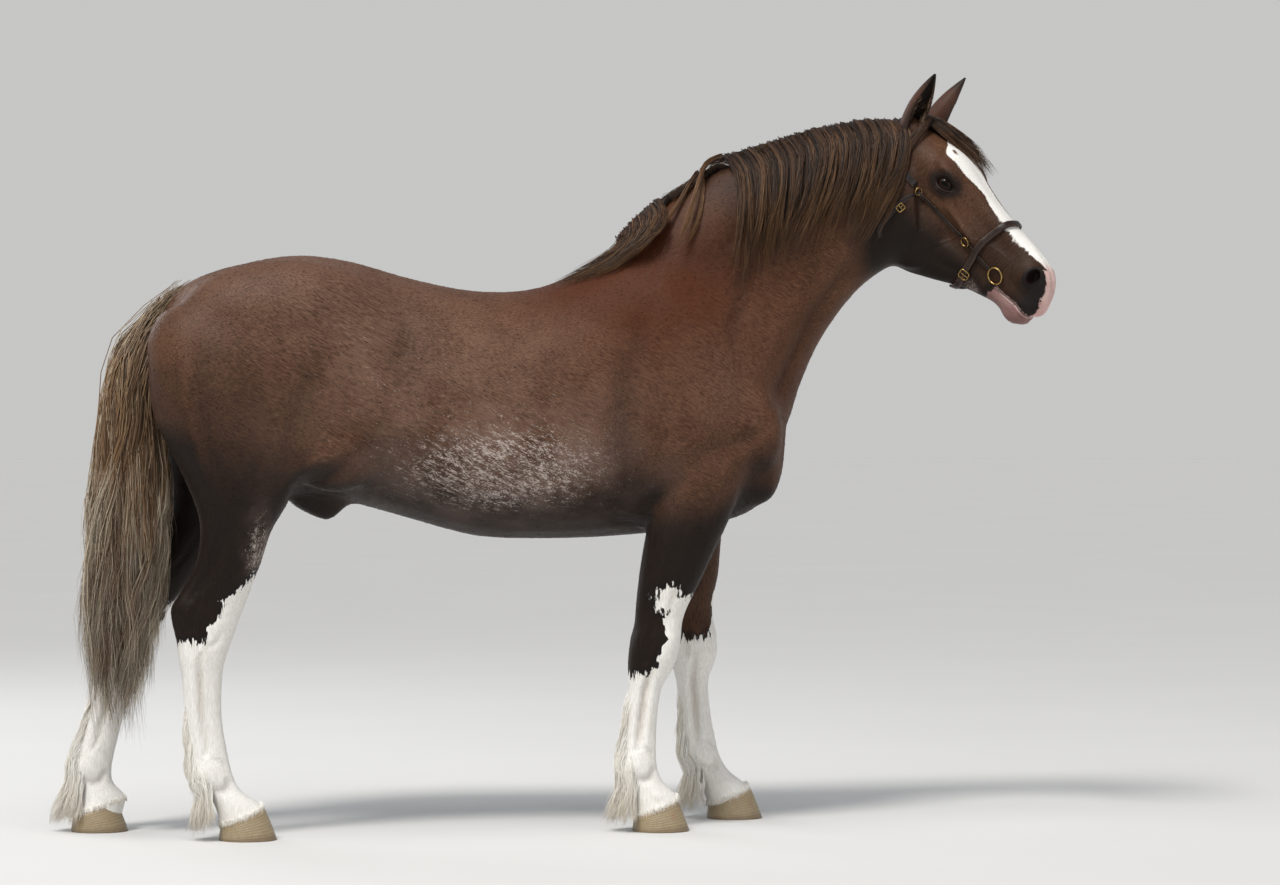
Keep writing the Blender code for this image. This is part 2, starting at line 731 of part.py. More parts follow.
def detailed_head(head, home):
    """Adds the lids to the head and cuts its eye sockets, nostrils and mouth."""
    lids = []
    sockets = []
    for side in (-1, 1):
        place = on_head(*EYE_PLACE[:2], side * EYE_PLACE[2])
        lids.append(ellipsoid("lid", place, (EYE_RADIUS + LID_THICKNESS,) * 3, home, HEAD_AXES, 2))
        sockets.append(ellipsoid("socket", place, (EYE_RADIUS + 2 * GAP,) * 3, home, HEAD_AXES, 2))
        sockets.append(almond(side, home))
    combine(head, lids, "UNION")
    combine(head, sockets, "DIFFERENCE")
    nostrils = []
    for side in (-1, 1):
        place = on_head(*NOSTRIL_PLACE[:2], side * NOSTRIL_PLACE[2])
        lean = Matrix.Rotation(NOSTRIL_LEAN, 3, LEFT_OF_FACE)
        nostrils.append(ellipsoid("nostril", place, NOSTRIL_RADII, home, lean @ HEAD_AXES, 2))
    combine(head, nostrils, "DIFFERENCE")
    return combine(head, [mouth_slot(home)], "DIFFERENCE")


def skin_finder(thing):
    """Finds the nearest point of a mesh, and the way out of it there."""
    shape = bmesh.new()
    shape.from_mesh(thing.data)
    tree = BVHTree.FromBMesh(shape)
    shape.free()
    return tree


def smooth_path(points, count, closed=False):
    """Evenly shared points on a smooth curve through the given ones."""
    size = len(points)
    made = []
    spans = size if closed else size - 1
    for i in range(count if closed else count + 1):
        place = spans * i / count
        k = min(int(place), spans - 1)
        if closed:
            four = [points[(k + n) % size] for n in (-1, 0, 1, 2)]
        else:
            four = [points[min(max(k + n, 0), size - 1)] for n in (-1, 0, 1, 2)]
        made.append(between(*four, place - k))
    return made


def averaged(vectors, closed):
    """Vectors mixed with the ones before and after them."""
    size = len(vectors)
    made = []
    for i, vector in enumerate(vectors):
        before, after = (i - 1) % size, (i + 1) % size
        if not closed:
            before, after = max(i - 1, 0), min(i + 1, size - 1)
        made.append((vectors[before] + vector * 2 + vectors[after]) / 4)
    return made


def strap(name, points, width, skin, home, count, closed=False, lift=STRAP_LIFT, thickness=STRAP_THICKNESS,
          ring_reach=(0.0, 0.0)):
    """A flat strap that lies on the skin along a path, and ends at the wire of a ring."""
    path = smooth_path([Vector(point) for point in points], count * 8, closed)
    if not closed:
        start, end = path[0], path[-1]
        path = [p for p in path if (p - start).length >= ring_reach[0] and (p - end).length >= ring_reach[1]]
    stations = count if closed else count + 1
    path = [path[round(i * (len(path) - 1) / (stations - (0 if closed else 1)))] for i in range(stations)]
    found = [skin.find_nearest(point) for point in path]
    laid = [place for place, _, _, _ in found]
    normals = [normal for _, normal, _, _ in found]
    for _ in range(3):
        normals = averaged(normals, closed)
    size = len(laid)
    shape = bmesh.new()
    loops = []
    for i, point in enumerate(laid):
        before, after = (i - 1) % size, (i + 1) % size
        if not closed:
            before, after = max(i - 1, 0), min(i + 1, size - 1)
        ahead = (laid[after] - laid[before]).normalized()
        out = (normals[i] - ahead * normals[i].dot(ahead)).normalized()
        side = ahead.cross(out) * width / 2
        inner = point + out * (lift - thickness / 2)
        outer = inner + out * thickness
        corners = (inner - side, inner + side, outer + side * 0.86, outer - side * 0.86)
        loops.append([shape.verts.new(corner) for corner in corners])
    pairs = list(zip(loops, loops[1:]))
    if closed:
        pairs.append((loops[-1], loops[0]))
    for first, second in pairs:
        for k in range(4):
            shape.faces.new((first[k], first[k - 1], second[k - 1], second[k]))
    if not closed:
        shape.faces.new(loops[0])
        shape.faces.new(list(reversed(loops[-1])))
    return as_object(name, shape, home)


def height_above(skin, point):
    """How far a point stands out of the skin, less than zero inside it."""
    nearest, normal, _, _ = skin.find_nearest(point)
    return (point - nearest).dot(normal)


def metal_ring(name, place, radius, wire, skin, home):
    """A ring of wire that lies on the skin, level with the skin round its place."""
    nearest, normal, _, _ = skin.find_nearest(place)
    for axis in (ALONG_FACE, OUT_OF_FACE):
        for reach in (-radius, radius):
            normal = normal + skin.find_nearest(place + axis * reach)[1]
    normal = normal.normalized()
    along = (ALONG_FACE - normal * ALONG_FACE.dot(normal)).normalized()
    axes = Matrix((along, normal.cross(along), normal)).transposed()
    bpy.ops.mesh.primitive_torus_add(
        major_segments=12, minor_segments=4, major_radius=radius, minor_radius=wire / 2
    )
    made = bpy.context.object
    made.name = name
    made.data.name = name
    for first_home in list(made.users_collection):
        first_home.objects.unlink(made)
    home.objects.link(made)
    made.data.transform(Matrix.Translation(nearest) @ axes.to_4x4())
    settling_steps = 3
    for _ in range(settling_steps):
        lowest = min(height_above(skin, vertex.co) for vertex in made.data.vertices)
        made.data.transform(Matrix.Translation(normal * (RING_LIFT - lowest)))
    return made


# Where the headcollar lies: points along, out of and beside the face
CHEEK_BUCKLE = (0.146, -0.090, 0.085)
CHEEK_RING = (0.336, -0.079, 0.070)
BIT_RING = (0.455, -0.061, 0.045)

# The metal rings on each side: place, radius to the middle of the wire, and its thickness
METAL_RINGS = [
    ("cheek_buckle", CHEEK_BUCKLE, 0.0100, 0.0030),
    ("cheek_ring", CHEEK_RING, 0.0125, 0.0034),
    ("bit_ring", BIT_RING, 0.0215, 0.0048),
]


def sided(place, side):
    return on_head(place[0], place[1], place[2] * side)


def headcollar(skin, home):
    """The straps and rings of the show headcollar."""
    nodes = {}
    rings = []
    for word, side in (("right", -1), ("left", 1)):
        for name, place, radius, wire in METAL_RINGS:
            rings.append(metal_ring(f"{name}_{word}", sided(place, side), radius, wire, skin, home))
    for piece in rings:
        nodes[piece.name] = piece
    straps = []
    for word, side in (("right", -1), ("left", 1)):
        upper = [sided(CHEEK_BUCKLE, side), sided((0.236, -0.083, 0.085), side), sided(CHEEK_RING, side)]
        lower = [sided(CHEEK_RING, side), sided((0.395, -0.070, 0.058), side), sided(BIT_RING, side)]
        straps.append(strap(f"cheek_strap_{word}", upper, 0.011, skin, home, 10, ring_reach=(0.008, 0.010)))
        straps.append(strap(f"bit_strap_{word}", lower, 0.011, skin, home, 7, ring_reach=(0.010, 0.018)))
    crown = [
        sided(CHEEK_BUCKLE, -1), on_head(0.080, -0.085, -0.095), on_head(0.010, -0.060, -0.095),
        on_head(-0.030, -0.020, -0.050), on_head(-0.036, 0.020, 0.0), on_head(-0.030, -0.020, 0.050),
        on_head(0.010, -0.060, 0.095), on_head(0.080, -0.085, 0.095), sided(CHEEK_BUCKLE, 1),
    ]
    straps.append(strap("crownpiece", crown, 0.022, skin, home, 20, ring_reach=(0.008, 0.008)))
    nose = [
        on_head(0.372, 0.060, 0.0), on_head(0.368, 0.030, -0.050), on_head(0.370, -0.040, -0.070),
        on_head(0.382, -0.110, -0.060), on_head(0.400, -0.190, -0.030), on_head(0.402, -0.220, 0.0),
        on_head(0.400, -0.190, 0.030), on_head(0.382, -0.110, 0.060), on_head(0.370, -0.040, 0.070),
        on_head(0.368, 0.030, 0.050),
    ]
    straps.append(strap("noseband", nose, 0.020, skin, home, 26, True, NOSEBAND_LIFT, NOSEBAND_THICKNESS))
    for piece in straps:
        for loop in rings:
            clear_of(piece, loop)
        nodes[piece.name] = piece
    for word in ("right", "left"):
        clear_of(nodes[f"bit_strap_{word}"], nodes["noseband"])
    return nodes


# Colours as red, green, blue, roughness and metallic value, by kind of node
FINISHES = {
    "coat": ((0.115, 0.040, 0.020), 0.55, 0.0),
    "stocking": ((0.74, 0.70, 0.63), 0.70, 0.0),
    "tail_hair": ((0.40, 0.30, 0.20), 0.65, 0.0),
    "horn": ((0.52, 0.40, 0.28), 0.50, 0.0),
    "eye": ((0.012, 0.008, 0.006), 0.05, 0.0),
    "leather": ((0.060, 0.028, 0.018), 0.45, 0.0),
    "brass": ((0.70, 0.52, 0.22), 0.25, 1.0),
}


def finish_of(name):
    if "ring" in name or "buckle" in name:
        return "brass"
    if "strap" in name or name in ("noseband", "crownpiece"):
        return "leather"
    if name.startswith("hoof"):
        return "horn"
    if name.startswith("eye"):
        return "eye"
    if name.startswith("cannon"):
        return "stocking"
    if name == "tail":
        return "tail_hair"
    return "coat"


def painted(nodes):
    """Gives each node a material of its own."""
    for name, thing in nodes.items():
        colour, roughness, metallic = FINISHES[finish_of(name)]
        paint = bpy.data.materials.new(name)
        paint.use_nodes = True
        shader = paint.node_tree.nodes["Principled BSDF"]
        shader.inputs["Base Color"].default_value = (*colour, 1.0)
        shader.inputs["Roughness"].default_value = roughness
        shader.inputs["Metallic"].default_value = metallic
        thing.data.materials.clear()
        thing.data.materials.append(paint)


def lock(name, path, width, thickness, facings, home):
    """A flat lock of hair along a path, tapered to a point, its flat side to the facings."""
    shape = bmesh.new()
    loops = []
    last = len(path) - 1
    for i in range(last):
        share = i / last
        ahead = (path[i + 1] - path[max(i - 1, 0)]).normalized()
        out = facings[i] - ahead * facings[i].dot(ahead)
        out = out.normalized() * thickness / 2 * (1 - 0.45 * share)
        across = ahead.cross(out).normalized() * width / 2 * (1 - 0.72 * share**1.7)
        corners = (path[i] + across, path[i] + out, path[i] - across, path[i] - out)
        loops.append([shape.verts.new(corner) for corner in corners])
    for first, second in zip(loops, loops[1:]):
        for k in range(4):
            shape.faces.new((first[k], first[k - 1], second[k - 1], second[k]))
    tip = shape.verts.new(path[last])
    for k in range(4):
        shape.faces.new((loops[-1][k], loops[-1][k - 1], tip))
    shape.faces.new(loops[0])
    return as_object(name, shape, home)


def draped(points, skin, lift, rooted=1):
    """Moves the points of a hanging lock out of the skin, past its rooted ones."""
    laid = list(points[:rooted])
    for point in points[rooted:]:
        nearest, normal, _, _ = skin.find_nearest(point)
        height = (point - nearest).dot(normal)
        laid.append(nearest + normal * lift if height < lift else point)
    return laid


def crest_point(share):
    """A point of the neck's crest, from the withers to the poll, and the neck's half width there."""
    place = 1 + share * (len(NECK) - 2)
    k = min(int(place), len(NECK) - 2)
    rows = [NECK[min(max(k + n, 0), len(NECK) - 1)] for n in (-1, 0, 1, 2)]
    values = [between(*four, place - k) for four in zip(*rows)]
    return Vector(values[0:3]), values[6]


# The mane: locks in each layer, how wide and thick they are, and how far each layer stands off
MANE_LAYERS = [(12, 0.071, 0.013, 0.011), (8, 0.056, 0.011, 0.030)]
MANE_LENGTH = 0.33
MANE_START = 0.03
MANE_END = 0.97
BARE_STRETCH = (0.30, 0.40)


def mane_locks(skin, home):
    """Locks from the crest over to the right side, swept back at the withers."""
    draw = random.Random(11)
    locks = []
    for layer, (count, width, thickness, lift) in enumerate(MANE_LAYERS):
        for i in range(count):
            share = MANE_START + (MANE_END - MANE_START) * (i + 0.5 * layer + 0.15 * draw.random()) / count
            if BARE_STRETCH[0] < share < BARE_STRETCH[1]:
                continue
            crest, half_width = crest_point(min(share, 1.0))
            length = MANE_LENGTH * (1.0 + 0.12 * draw.uniform(-1, 1))
            sweep = 0.22 + 0.80 * max(0.0, 1 - share / 0.32) + 0.05 * draw.uniform(-1, 1)
            down = Vector((-sweep, 0.0, -1.0)).normalized()
            aside = min(1.0, 0.10 + share / 0.16)
            points = [crest + Vector((0.0, 0.010, -0.030)), crest + Vector((0.0, -0.012, 0.018 + lift * 0.4))]
            for away, fall in ((0.66, 0.12), (1.02, 0.52), (1.02, 0.98)):
                out = Vector((0.0, -(half_width * away + lift) * aside, -0.055 * aside))
                points.append(crest + out + down * length * fall)
            points = draped(points, skin, lift, rooted=2)
            facings = [Vector((0, 0.2, 1)), Vector((0, -0.4, 1)), Vector((0, -1, 0.5)), Vector((0, -1, 0.1))]
            locks.append(lock("mane_lock", points, width, thickness, facings, home))
    return locks


FORELOCK_LOCKS = 6


def forelock_locks(skin, home):
    """Locks from between the ears, swept over the brow to the left side."""
    draw = random.Random(5)
    locks = []
    for i in range(FORELOCK_LOCKS):
        spread = (i + 0.5) / FORELOCK_LOCKS - 0.5
        length = 0.20 + 0.03 * draw.uniform(-1, 1) - 0.05 * abs(spread)
        sideways = 0.045 + spread * 0.050
        points = [
            on_head(0.004, -0.020, spread * 0.050),
            on_head(0.012, 0.036, 0.006 + spread * 0.052),
            on_head(0.012 + length * 0.33, 0.062, 0.016 + spread * 0.060),
            on_head(0.012 + length * 0.68, 0.066, sideways * 0.95),
            on_head(0.012 + length, 0.058, sideways * 1.25 + 0.010),
        ]
        lift = 0.008 + 0.006 * (i % 2)
        points = draped(points, skin, lift, rooted=1)
        locks.append(lock("forelock_lock", points, 0.030, 0.010, [OUT_OF_FACE] * 5, home))
    return locks


# The tail's middle line: x, y, z, half its depth along the body and half its width
TAIL_LINE = [
    (-0.900, 0.000, 1.400, 0.030, 0.030),
    (-0.965, 0.000, 1.372, 0.032, 0.036),
    (-1.030, 0.000, 1.290, 0.050, 0.062),
    (-1.066, 0.000, 1.160, 0.072, 0.080),
    (-1.074, -0.004, 1.000, 0.084, 0.088),
    (-1.082, -0.010, 0.820, 0.098, 0.090),
    (-1.092, -0.014, 0.640, 0.104, 0.086),
    (-1.112, -0.018, 0.480, 0.090, 0.074),
    (-1.118, -0.020, 0.360, 0.062, 0.052),
    (-1.128, -0.020, 0.270, 0.026, 0.024),
]


def tail_core(home, low_end, fullness):
    """The dock and the inner mass of the tail, down to a height."""
    rows = [row for row in TAIL_LINE if row[2] >= low_end]
    middles = [Vector(row[0:3]) for row in rows]
    rings = []
    for i, row in enumerate(rows):
        run = middles[min(i + 1, len(rows) - 1)] - middles[max(i - 1, 0)]
        share = fullness if i > 1 else 1.0
        back = Vector((run.z, 0.0, -run.x)).normalized() * row[3] * share
        rings.append(ring(middles[i] + back, middles[i] - back, row[4] * share))
    return loft("tail", rings, home, sides=12, steps=2)


# The tail's locks in rows down the dock: height of the roots, locks, and height of the tips,
# and how far out each row lies
TAIL_ROWS = [(1.335, 5, 0.66), (1.235, 5, 0.46), (1.090, 6, 0.33), (0.940, 6, 0.26)]
TAIL_ROW_REACH = [1.00, 0.93, 0.84, 0.74]
TAIL_CORE_END = 0.85
TAIL_CORE_FULLNESS = 0.58
TAIL_LOCK_WIDTH = 0.076
TAIL_LOCK_THICKNESS = 0.013


def tail_section(height):
    """The middle of the tail at a height, half its depth and half its width."""
    falling = [(row[2], row) for row in TAIL_LINE]
    values = [at_height([(z, row[n]) for z, row in falling], height) for n in (0, 1, 3, 4)]
    return Vector((values[0], values[1], height)), values[2], values[3]


def tail_locks(home):
    draw = random.Random(23)
    locks = []
    for row, (start, count, end) in enumerate(TAIL_ROWS):
        for i in range(count):
            turn = 2 * math.pi * (i + 0.5 * (row % 2)) / count + draw.uniform(-0.12, 0.12)
            high = start + draw.uniform(-0.035, 0.035)
            low = end + draw.uniform(-0.01, 0.09)
            sway = 0.30 + draw.uniform(-0.06, 0.06)
            points = []
            facings = []
            for step in range(6):
                share = step / 5
                height = high + (low - high) * share
                middle, depth, width = tail_section(height)
                reach = 0.42 if step == 0 else TAIL_ROW_REACH[row]
                swing = turn + sway * share
                away = Vector((math.cos(swing) * depth, math.sin(swing) * width, 0.0))
                points.append(middle + away * reach)
                facings.append(away.normalized())
            locks.append(lock("tail_lock", points, TAIL_LOCK_WIDTH, TAIL_LOCK_THICKNESS, facings, home))
    return locks


def limb_rear(limb, height):
    """The point at the back of a limb at a height."""
    end, word = limb.split("_")
    side = -1 if word == "right" else 1
    if end == "front":
        stations, axis, spread, shift = FORE_LIMB, FORE_AXIS, FORE_Y, LEFT_FORE_SHIFT
    else:
        stations, axis, spread, shift = HIND_LIMB, HIND_AXIS, HIND_Y, LEFT_HIND_SHIFT
    behind = at_height([(row[0], row[2]) for row in stations], height)
    x = at_height(axis, height) + (at_height(shift, height) if side > 0 else 0.0) - behind
    return Vector((x, side * at_height(spread, height), height))


# The feather behind a fetlock: height of a row of roots, locks in it, and how far back the tips stand
FEATHER_ROWS = [(0.300, 2, 0.022), (0.235, 3, 0.036), (0.175, 3, 0.057)]
FEATHER_SPREAD = math.radians(78)
FEATHER_WIDTH = 0.043
FEATHER_THICKNESS = 0.011


def feather_locks(limb, home):
    """The long hair behind a fetlock, in rows of locks that fall towards the heel."""
    draw = random.Random(len(limb) * 7 + ord(limb[0]))
    heel = limb_rear(limb, 0.150)
    locks = []
    for row, (start, count, back) in enumerate(FEATHER_ROWS):
        low = 0.020 + 0.055 * (2 - row)
        for i in range(count):
            turn = FEATHER_SPREAD * ((i + 0.5) / count * 2 - 1) * (0.55 + 0.225 * row)
            tip_height = low + draw.uniform(0.0, 0.03)
            points = []
            facings = []
            for step in range(4):
                share = step / 3
                height = start + (tip_height - start) * share
                place = limb_rear(limb, max(height, 0.150))
                place.x = min(place.x, heel.x + 0.012)
                place.z = height
                away = Vector((-math.cos(turn), math.sin(turn), 0.0))
                round_limb = Vector((0.036 - 0.036 * math.cos(turn), 0.036 * math.sin(turn), 0.0))
                rest = 0.008 * (2 - row) + (back + 0.004 * draw.random()) * share**0.8
                reach = -0.012 if step == 0 else rest
                points.append(place + round_limb + away * reach)
                facings.append(away)
            locks.append(lock("feather_lock", points, FEATHER_WIDTH, FEATHER_THICKNESS, facings, home))
    return locks


def main():
    clear_scene()
    horse = collection("welsh_cob")
    forms = trunk_forms(horse) + neck_forms(horse) + limb_forms(horse) + head_forms(horse)
    flesh = fused_flesh(forms, horse)
    skin = skin_finder(flesh)
    nodes = parted_flesh(flesh, horse)
    detailed_head(nodes["head"], horse)
    for word, side in (("right", -1), ("left", 1)):
        nodes[f"ear_{word}"] = ear(f"ear_{word}", side, nodes["head"], horse)
        nodes[f"eye_{word}"] = eyeball(f"eye_{word}", side, horse)
    for limb, (x, y) in HOOF_PLACES.items():
        nodes[f"hoof_{limb}"] = hoof(f"hoof_{limb}", x, y, horse)
    collar = headcollar(skin, horse)
    for piece in collar.values():
        clear_of(piece, nodes["head"])
    for neighbour in ("neck", "ear_right", "ear_left"):
        clear_of(collar["crownpiece"], nodes[neighbour])
    combine(nodes["head"], forelock_locks(skin, horse), "UNION")
    combine(nodes["neck"], mane_locks(skin, horse), "UNION")
    for neighbour in ("torso", "head", "ear_right"):
        clear_of(nodes["neck"], nodes[neighbour])
    for haired in ("neck", "head"):
        clear_of(nodes[haired], collar["crownpiece"])
    for neighbour in ("ear_right", "ear_left"):
        clear_of(nodes["head"], nodes[neighbour])
    for limb in HOOF_PLACES:
        combine(nodes[f"cannon_{limb}"], feather_locks(limb, horse), "UNION")
        clear_of(nodes[f"cannon_{limb}"], nodes[f"hoof_{limb}"])
    core = tail_core(horse, TAIL_CORE_END, TAIL_CORE_FULLNESS)
    nodes["tail"] = combine(core, tail_locks(horse), "UNION")
    clear_of(nodes["tail"], nodes["torso"])
    nodes.update(collar)
    painted(nodes)
    for thing in nodes.values():
        thing.location = STANCE_OFFSET


main()
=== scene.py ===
import math

import bmesh
import bpy
import numpy as np
from mathutils import Matrix, Vector
from mathutils.bvhtree import BVHTree


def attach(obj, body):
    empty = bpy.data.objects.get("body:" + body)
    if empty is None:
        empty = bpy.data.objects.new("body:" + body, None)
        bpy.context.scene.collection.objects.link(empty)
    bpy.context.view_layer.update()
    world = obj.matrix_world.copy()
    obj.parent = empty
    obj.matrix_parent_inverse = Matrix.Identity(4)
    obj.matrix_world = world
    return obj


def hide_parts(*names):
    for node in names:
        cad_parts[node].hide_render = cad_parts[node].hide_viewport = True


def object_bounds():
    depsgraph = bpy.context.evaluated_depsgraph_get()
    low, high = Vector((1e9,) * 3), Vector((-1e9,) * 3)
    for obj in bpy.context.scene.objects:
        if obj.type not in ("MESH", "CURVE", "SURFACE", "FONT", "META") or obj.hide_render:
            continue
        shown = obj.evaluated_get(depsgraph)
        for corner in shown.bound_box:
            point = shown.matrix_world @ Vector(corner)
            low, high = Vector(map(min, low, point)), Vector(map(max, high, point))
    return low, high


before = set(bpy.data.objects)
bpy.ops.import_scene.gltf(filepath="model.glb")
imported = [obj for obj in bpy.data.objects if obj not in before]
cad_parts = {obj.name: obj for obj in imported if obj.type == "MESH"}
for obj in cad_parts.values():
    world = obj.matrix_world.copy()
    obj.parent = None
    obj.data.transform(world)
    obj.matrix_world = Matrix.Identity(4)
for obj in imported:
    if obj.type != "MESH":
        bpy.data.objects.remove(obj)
cad_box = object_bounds()

# ---------------------------------------------------------------------------
# The hide covers trunk, neck, head and legs in one skin of short chestnut hair. It is
# lofted from sections along each mass, fused into one surface and smoothed, and then the
# muscles, bones and folds are worked in with strokes along their lines.

# Where the model stands in the frame, from the measures that it is built by
STANCE = Vector((0.004, 0.055, 0.0))
UP = Vector((0, 0, 1))

# The trunk: x, top and bottom of the outline, half width, egg and squareness
TRUNK = [
    (-1.005, 1.340, 1.150, 0.060, 0.00, 1.00),
    (-0.965, 1.385, 1.040, 0.140, 0.00, 1.00),
    (-0.900, 1.425, 0.930, 0.205, 0.10, 0.95),
    (-0.800, 1.455, 0.880, 0.250, 0.10, 0.90),
    (-0.660, 1.480, 0.860, 0.275, 0.08, 0.90),
    (-0.520, 1.466, 0.845, 0.280, 0.00, 0.92),
    (-0.360, 1.422, 0.800, 0.292, -0.06, 0.95),
    (-0.190, 1.390, 0.754, 0.308, -0.08, 0.97),
    (-0.030, 1.397, 0.746, 0.314, -0.10, 0.98),
    (0.100, 1.450, 0.748, 0.298, -0.16, 1.00),
    (0.220, 1.512, 0.755, 0.264, -0.22, 1.00),
    (0.340, 1.545, 0.765, 0.232, -0.20, 1.00),
    (0.460, 1.480, 0.785, 0.208, -0.12, 1.00),
    (0.550, 1.340, 0.820, 0.170, 0.00, 1.00),
    (0.618, 1.200, 0.890, 0.100, 0.00, 1.00),
]

# The neck: crest x, y, z, underside x, y, z, half width
NECK = [
    (0.080, 0.000, 1.420, 0.500, 0.000, 0.960, 0.200),
    (0.200, 0.000, 1.524, 0.625, 0.000, 1.020, 0.172),
    (0.320, -0.004, 1.632, 0.668, -0.003, 1.130, 0.148),
    (0.450, -0.015, 1.712, 0.712, -0.015, 1.235, 0.132),
    (0.580, -0.038, 1.757, 0.768, -0.042, 1.330, 0.120),
    (0.710, -0.072, 1.798, 0.822, -0.084, 1.402, 0.112),
    (0.830, -0.110, 1.822, 0.880, -0.128, 1.450, 0.104),
    (0.940, -0.142, 1.820, 0.960, -0.172, 1.500, 0.092),
]

# A fore limb: height, reach in front of and behind its axis, half width
FORE_LIMB = [
    (0.980, 0.120, 0.110, 0.085),
    (0.880, 0.128, 0.105, 0.092),
    (0.800, 0.114, 0.099, 0.088),
    (0.720, 0.095, 0.094, 0.078),
    (0.650, 0.080, 0.087, 0.068),
    (0.580, 0.062, 0.077, 0.057),
    (0.535, 0.057, 0.070, 0.051),
    (0.490, 0.064, 0.070, 0.055),
    (0.440, 0.064, 0.066, 0.053),
    (0.400, 0.053, 0.058, 0.043),
    (0.360, 0.040, 0.049, 0.034),
    (0.280, 0.039, 0.047, 0.031),
    (0.215, 0.043, 0.050, 0.036),
    (0.170, 0.048, 0.054, 0.044),
    (0.130, 0.047, 0.042, 0.040),
    (0.106, 0.062, 0.045, 0.047),
    (0.088, 0.073, 0.050, 0.053),
    (0.060, 0.064, 0.055, 0.055),
    (0.020, 0.058, 0.058, 0.058),
]
FORE_AXIS = [
    (0.980, 0.380), (0.800, 0.335), (0.580, 0.280), (0.475, 0.256), (0.360, 0.232),
    (0.280, 0.222), (0.170, 0.212), (0.070, 0.250), (0.020, 0.262),
]
LEFT_FORE_SHIFT = [
    (0.980, 0.000), (0.800, 0.055), (0.650, 0.112), (0.475, 0.164),
    (0.300, 0.203), (0.170, 0.231), (0.020, 0.262),
]
FORE_Y = [(0.980, 0.150), (0.800, 0.152), (0.475, 0.143), (0.045, 0.145), (0.020, 0.145)]

# A hind limb, the same way, from the buttock down
HIND_LIMB = [
    (1.340, 0.110, 0.180, 0.090),
    (1.270, 0.210, 0.231, 0.125),
    (1.190, 0.250, 0.244, 0.145),
    (1.110, 0.265, 0.243, 0.150),
    (1.030, 0.240, 0.220, 0.145),
    (0.960, 0.190, 0.185, 0.134),
    (0.900, 0.145, 0.146, 0.120),
    (0.840, 0.122, 0.110, 0.106),
    (0.780, 0.095, 0.088, 0.090),
    (0.700, 0.083, 0.085, 0.072),
    (0.640, 0.083, 0.094, 0.059),
    (0.590, 0.082, 0.106, 0.053),
    (0.550, 0.078, 0.094, 0.051),
    (0.500, 0.068, 0.074, 0.049),
    (0.455, 0.060, 0.062, 0.045),
    (0.410, 0.050, 0.056, 0.038),
    (0.310, 0.044, 0.053, 0.034),
    (0.220, 0.048, 0.053, 0.038),
    (0.165, 0.054, 0.056, 0.045),
    (0.128, 0.047, 0.044, 0.041),
    (0.106, 0.061, 0.047, 0.047),
    (0.088, 0.072, 0.051, 0.053),
    (0.060, 0.064, 0.057, 0.056),
    (0.020, 0.060, 0.060, 0.058),
]
HIND_AXIS = [
    (1.340, -0.830), (1.190, -0.805), (0.960, -0.800), (0.780, -0.831), (0.700, -0.845),
    (0.570, -0.893), (0.455, -0.912), (0.310, -0.905), (0.165, -0.888), (0.070, -0.820),
    (0.020, -0.805),
]
LEFT_HIND_SHIFT = [
    (1.340, 0.000), (0.960, 0.000), (0.570, -0.150), (0.455, -0.162),
    (0.310, -0.212), (0.165, -0.275), (0.020, -0.345),
]
HIND_Y = [(1.340, 0.115), (1.190, 0.138), (1.030, 0.152), (0.840, 0.160), (0.570, 0.152), (0.020, 0.150)]

# Muscle and bone on both sides of the trunk: centre, radii and backward lean in degrees
TRUNK_MASSES = [
    ((0.372, 0.138, 1.225), (0.115, 0.060, 0.220), 38),
    ((0.275, 0.190, 1.030), (0.160, 0.070, 0.170), 20),
    ((0.500, 0.135, 1.055), (0.088, 0.080, 0.140), 20),
    ((0.535, 0.070, 0.945), (0.070, 0.080, 0.115), 10),
    ((-0.690, 0.130, 1.310), (0.290, 0.135, 0.158), 0),
    ((-0.490, 0.175, 1.270), (0.110, 0.075, 0.100), 0),
    ((-0.580, 0.180, 1.000), (0.130, 0.075, 0.130), -35),
]

# The coronets: how high and how steep they are, the middle of each hoof, and the roll of
# hair that bulges over each: shift along the hoof, and radii
CORONET_HEIGHT = 0.062
CORONET_SLOPE = math.radians(21)
HOOF_PLACES = {
    "front_right": (0.262, -0.145), "front_left": (0.524, 0.145),
    "hind_right": (-0.805, -0.150), "hind_left": (-1.150, 0.150),
}
CORONET_ROLL = (-0.0040, (0.0600, 0.0605, 0.0120))

# The head's own axes, from the poll along the face and up out of the forehead
POLL = Vector((0.965, -0.145, 1.822))
HEAD_TURN = math.radians(42)
HEAD_DROOP = math.radians(52)
HEAD_FORWARD = Vector((math.cos(HEAD_TURN), -math.sin(HEAD_TURN), 0.0))
ALONG_FACE = HEAD_FORWARD * math.cos(HEAD_DROOP) - UP * math.sin(HEAD_DROOP)
OUT_OF_FACE = HEAD_FORWARD * math.sin(HEAD_DROOP) + UP * math.cos(HEAD_DROOP)
LEFT_OF_FACE = OUT_OF_FACE.cross(ALONG_FACE)
HEAD_AXES = Matrix((ALONG_FACE, OUT_OF_FACE, LEFT_OF_FACE)).transposed()

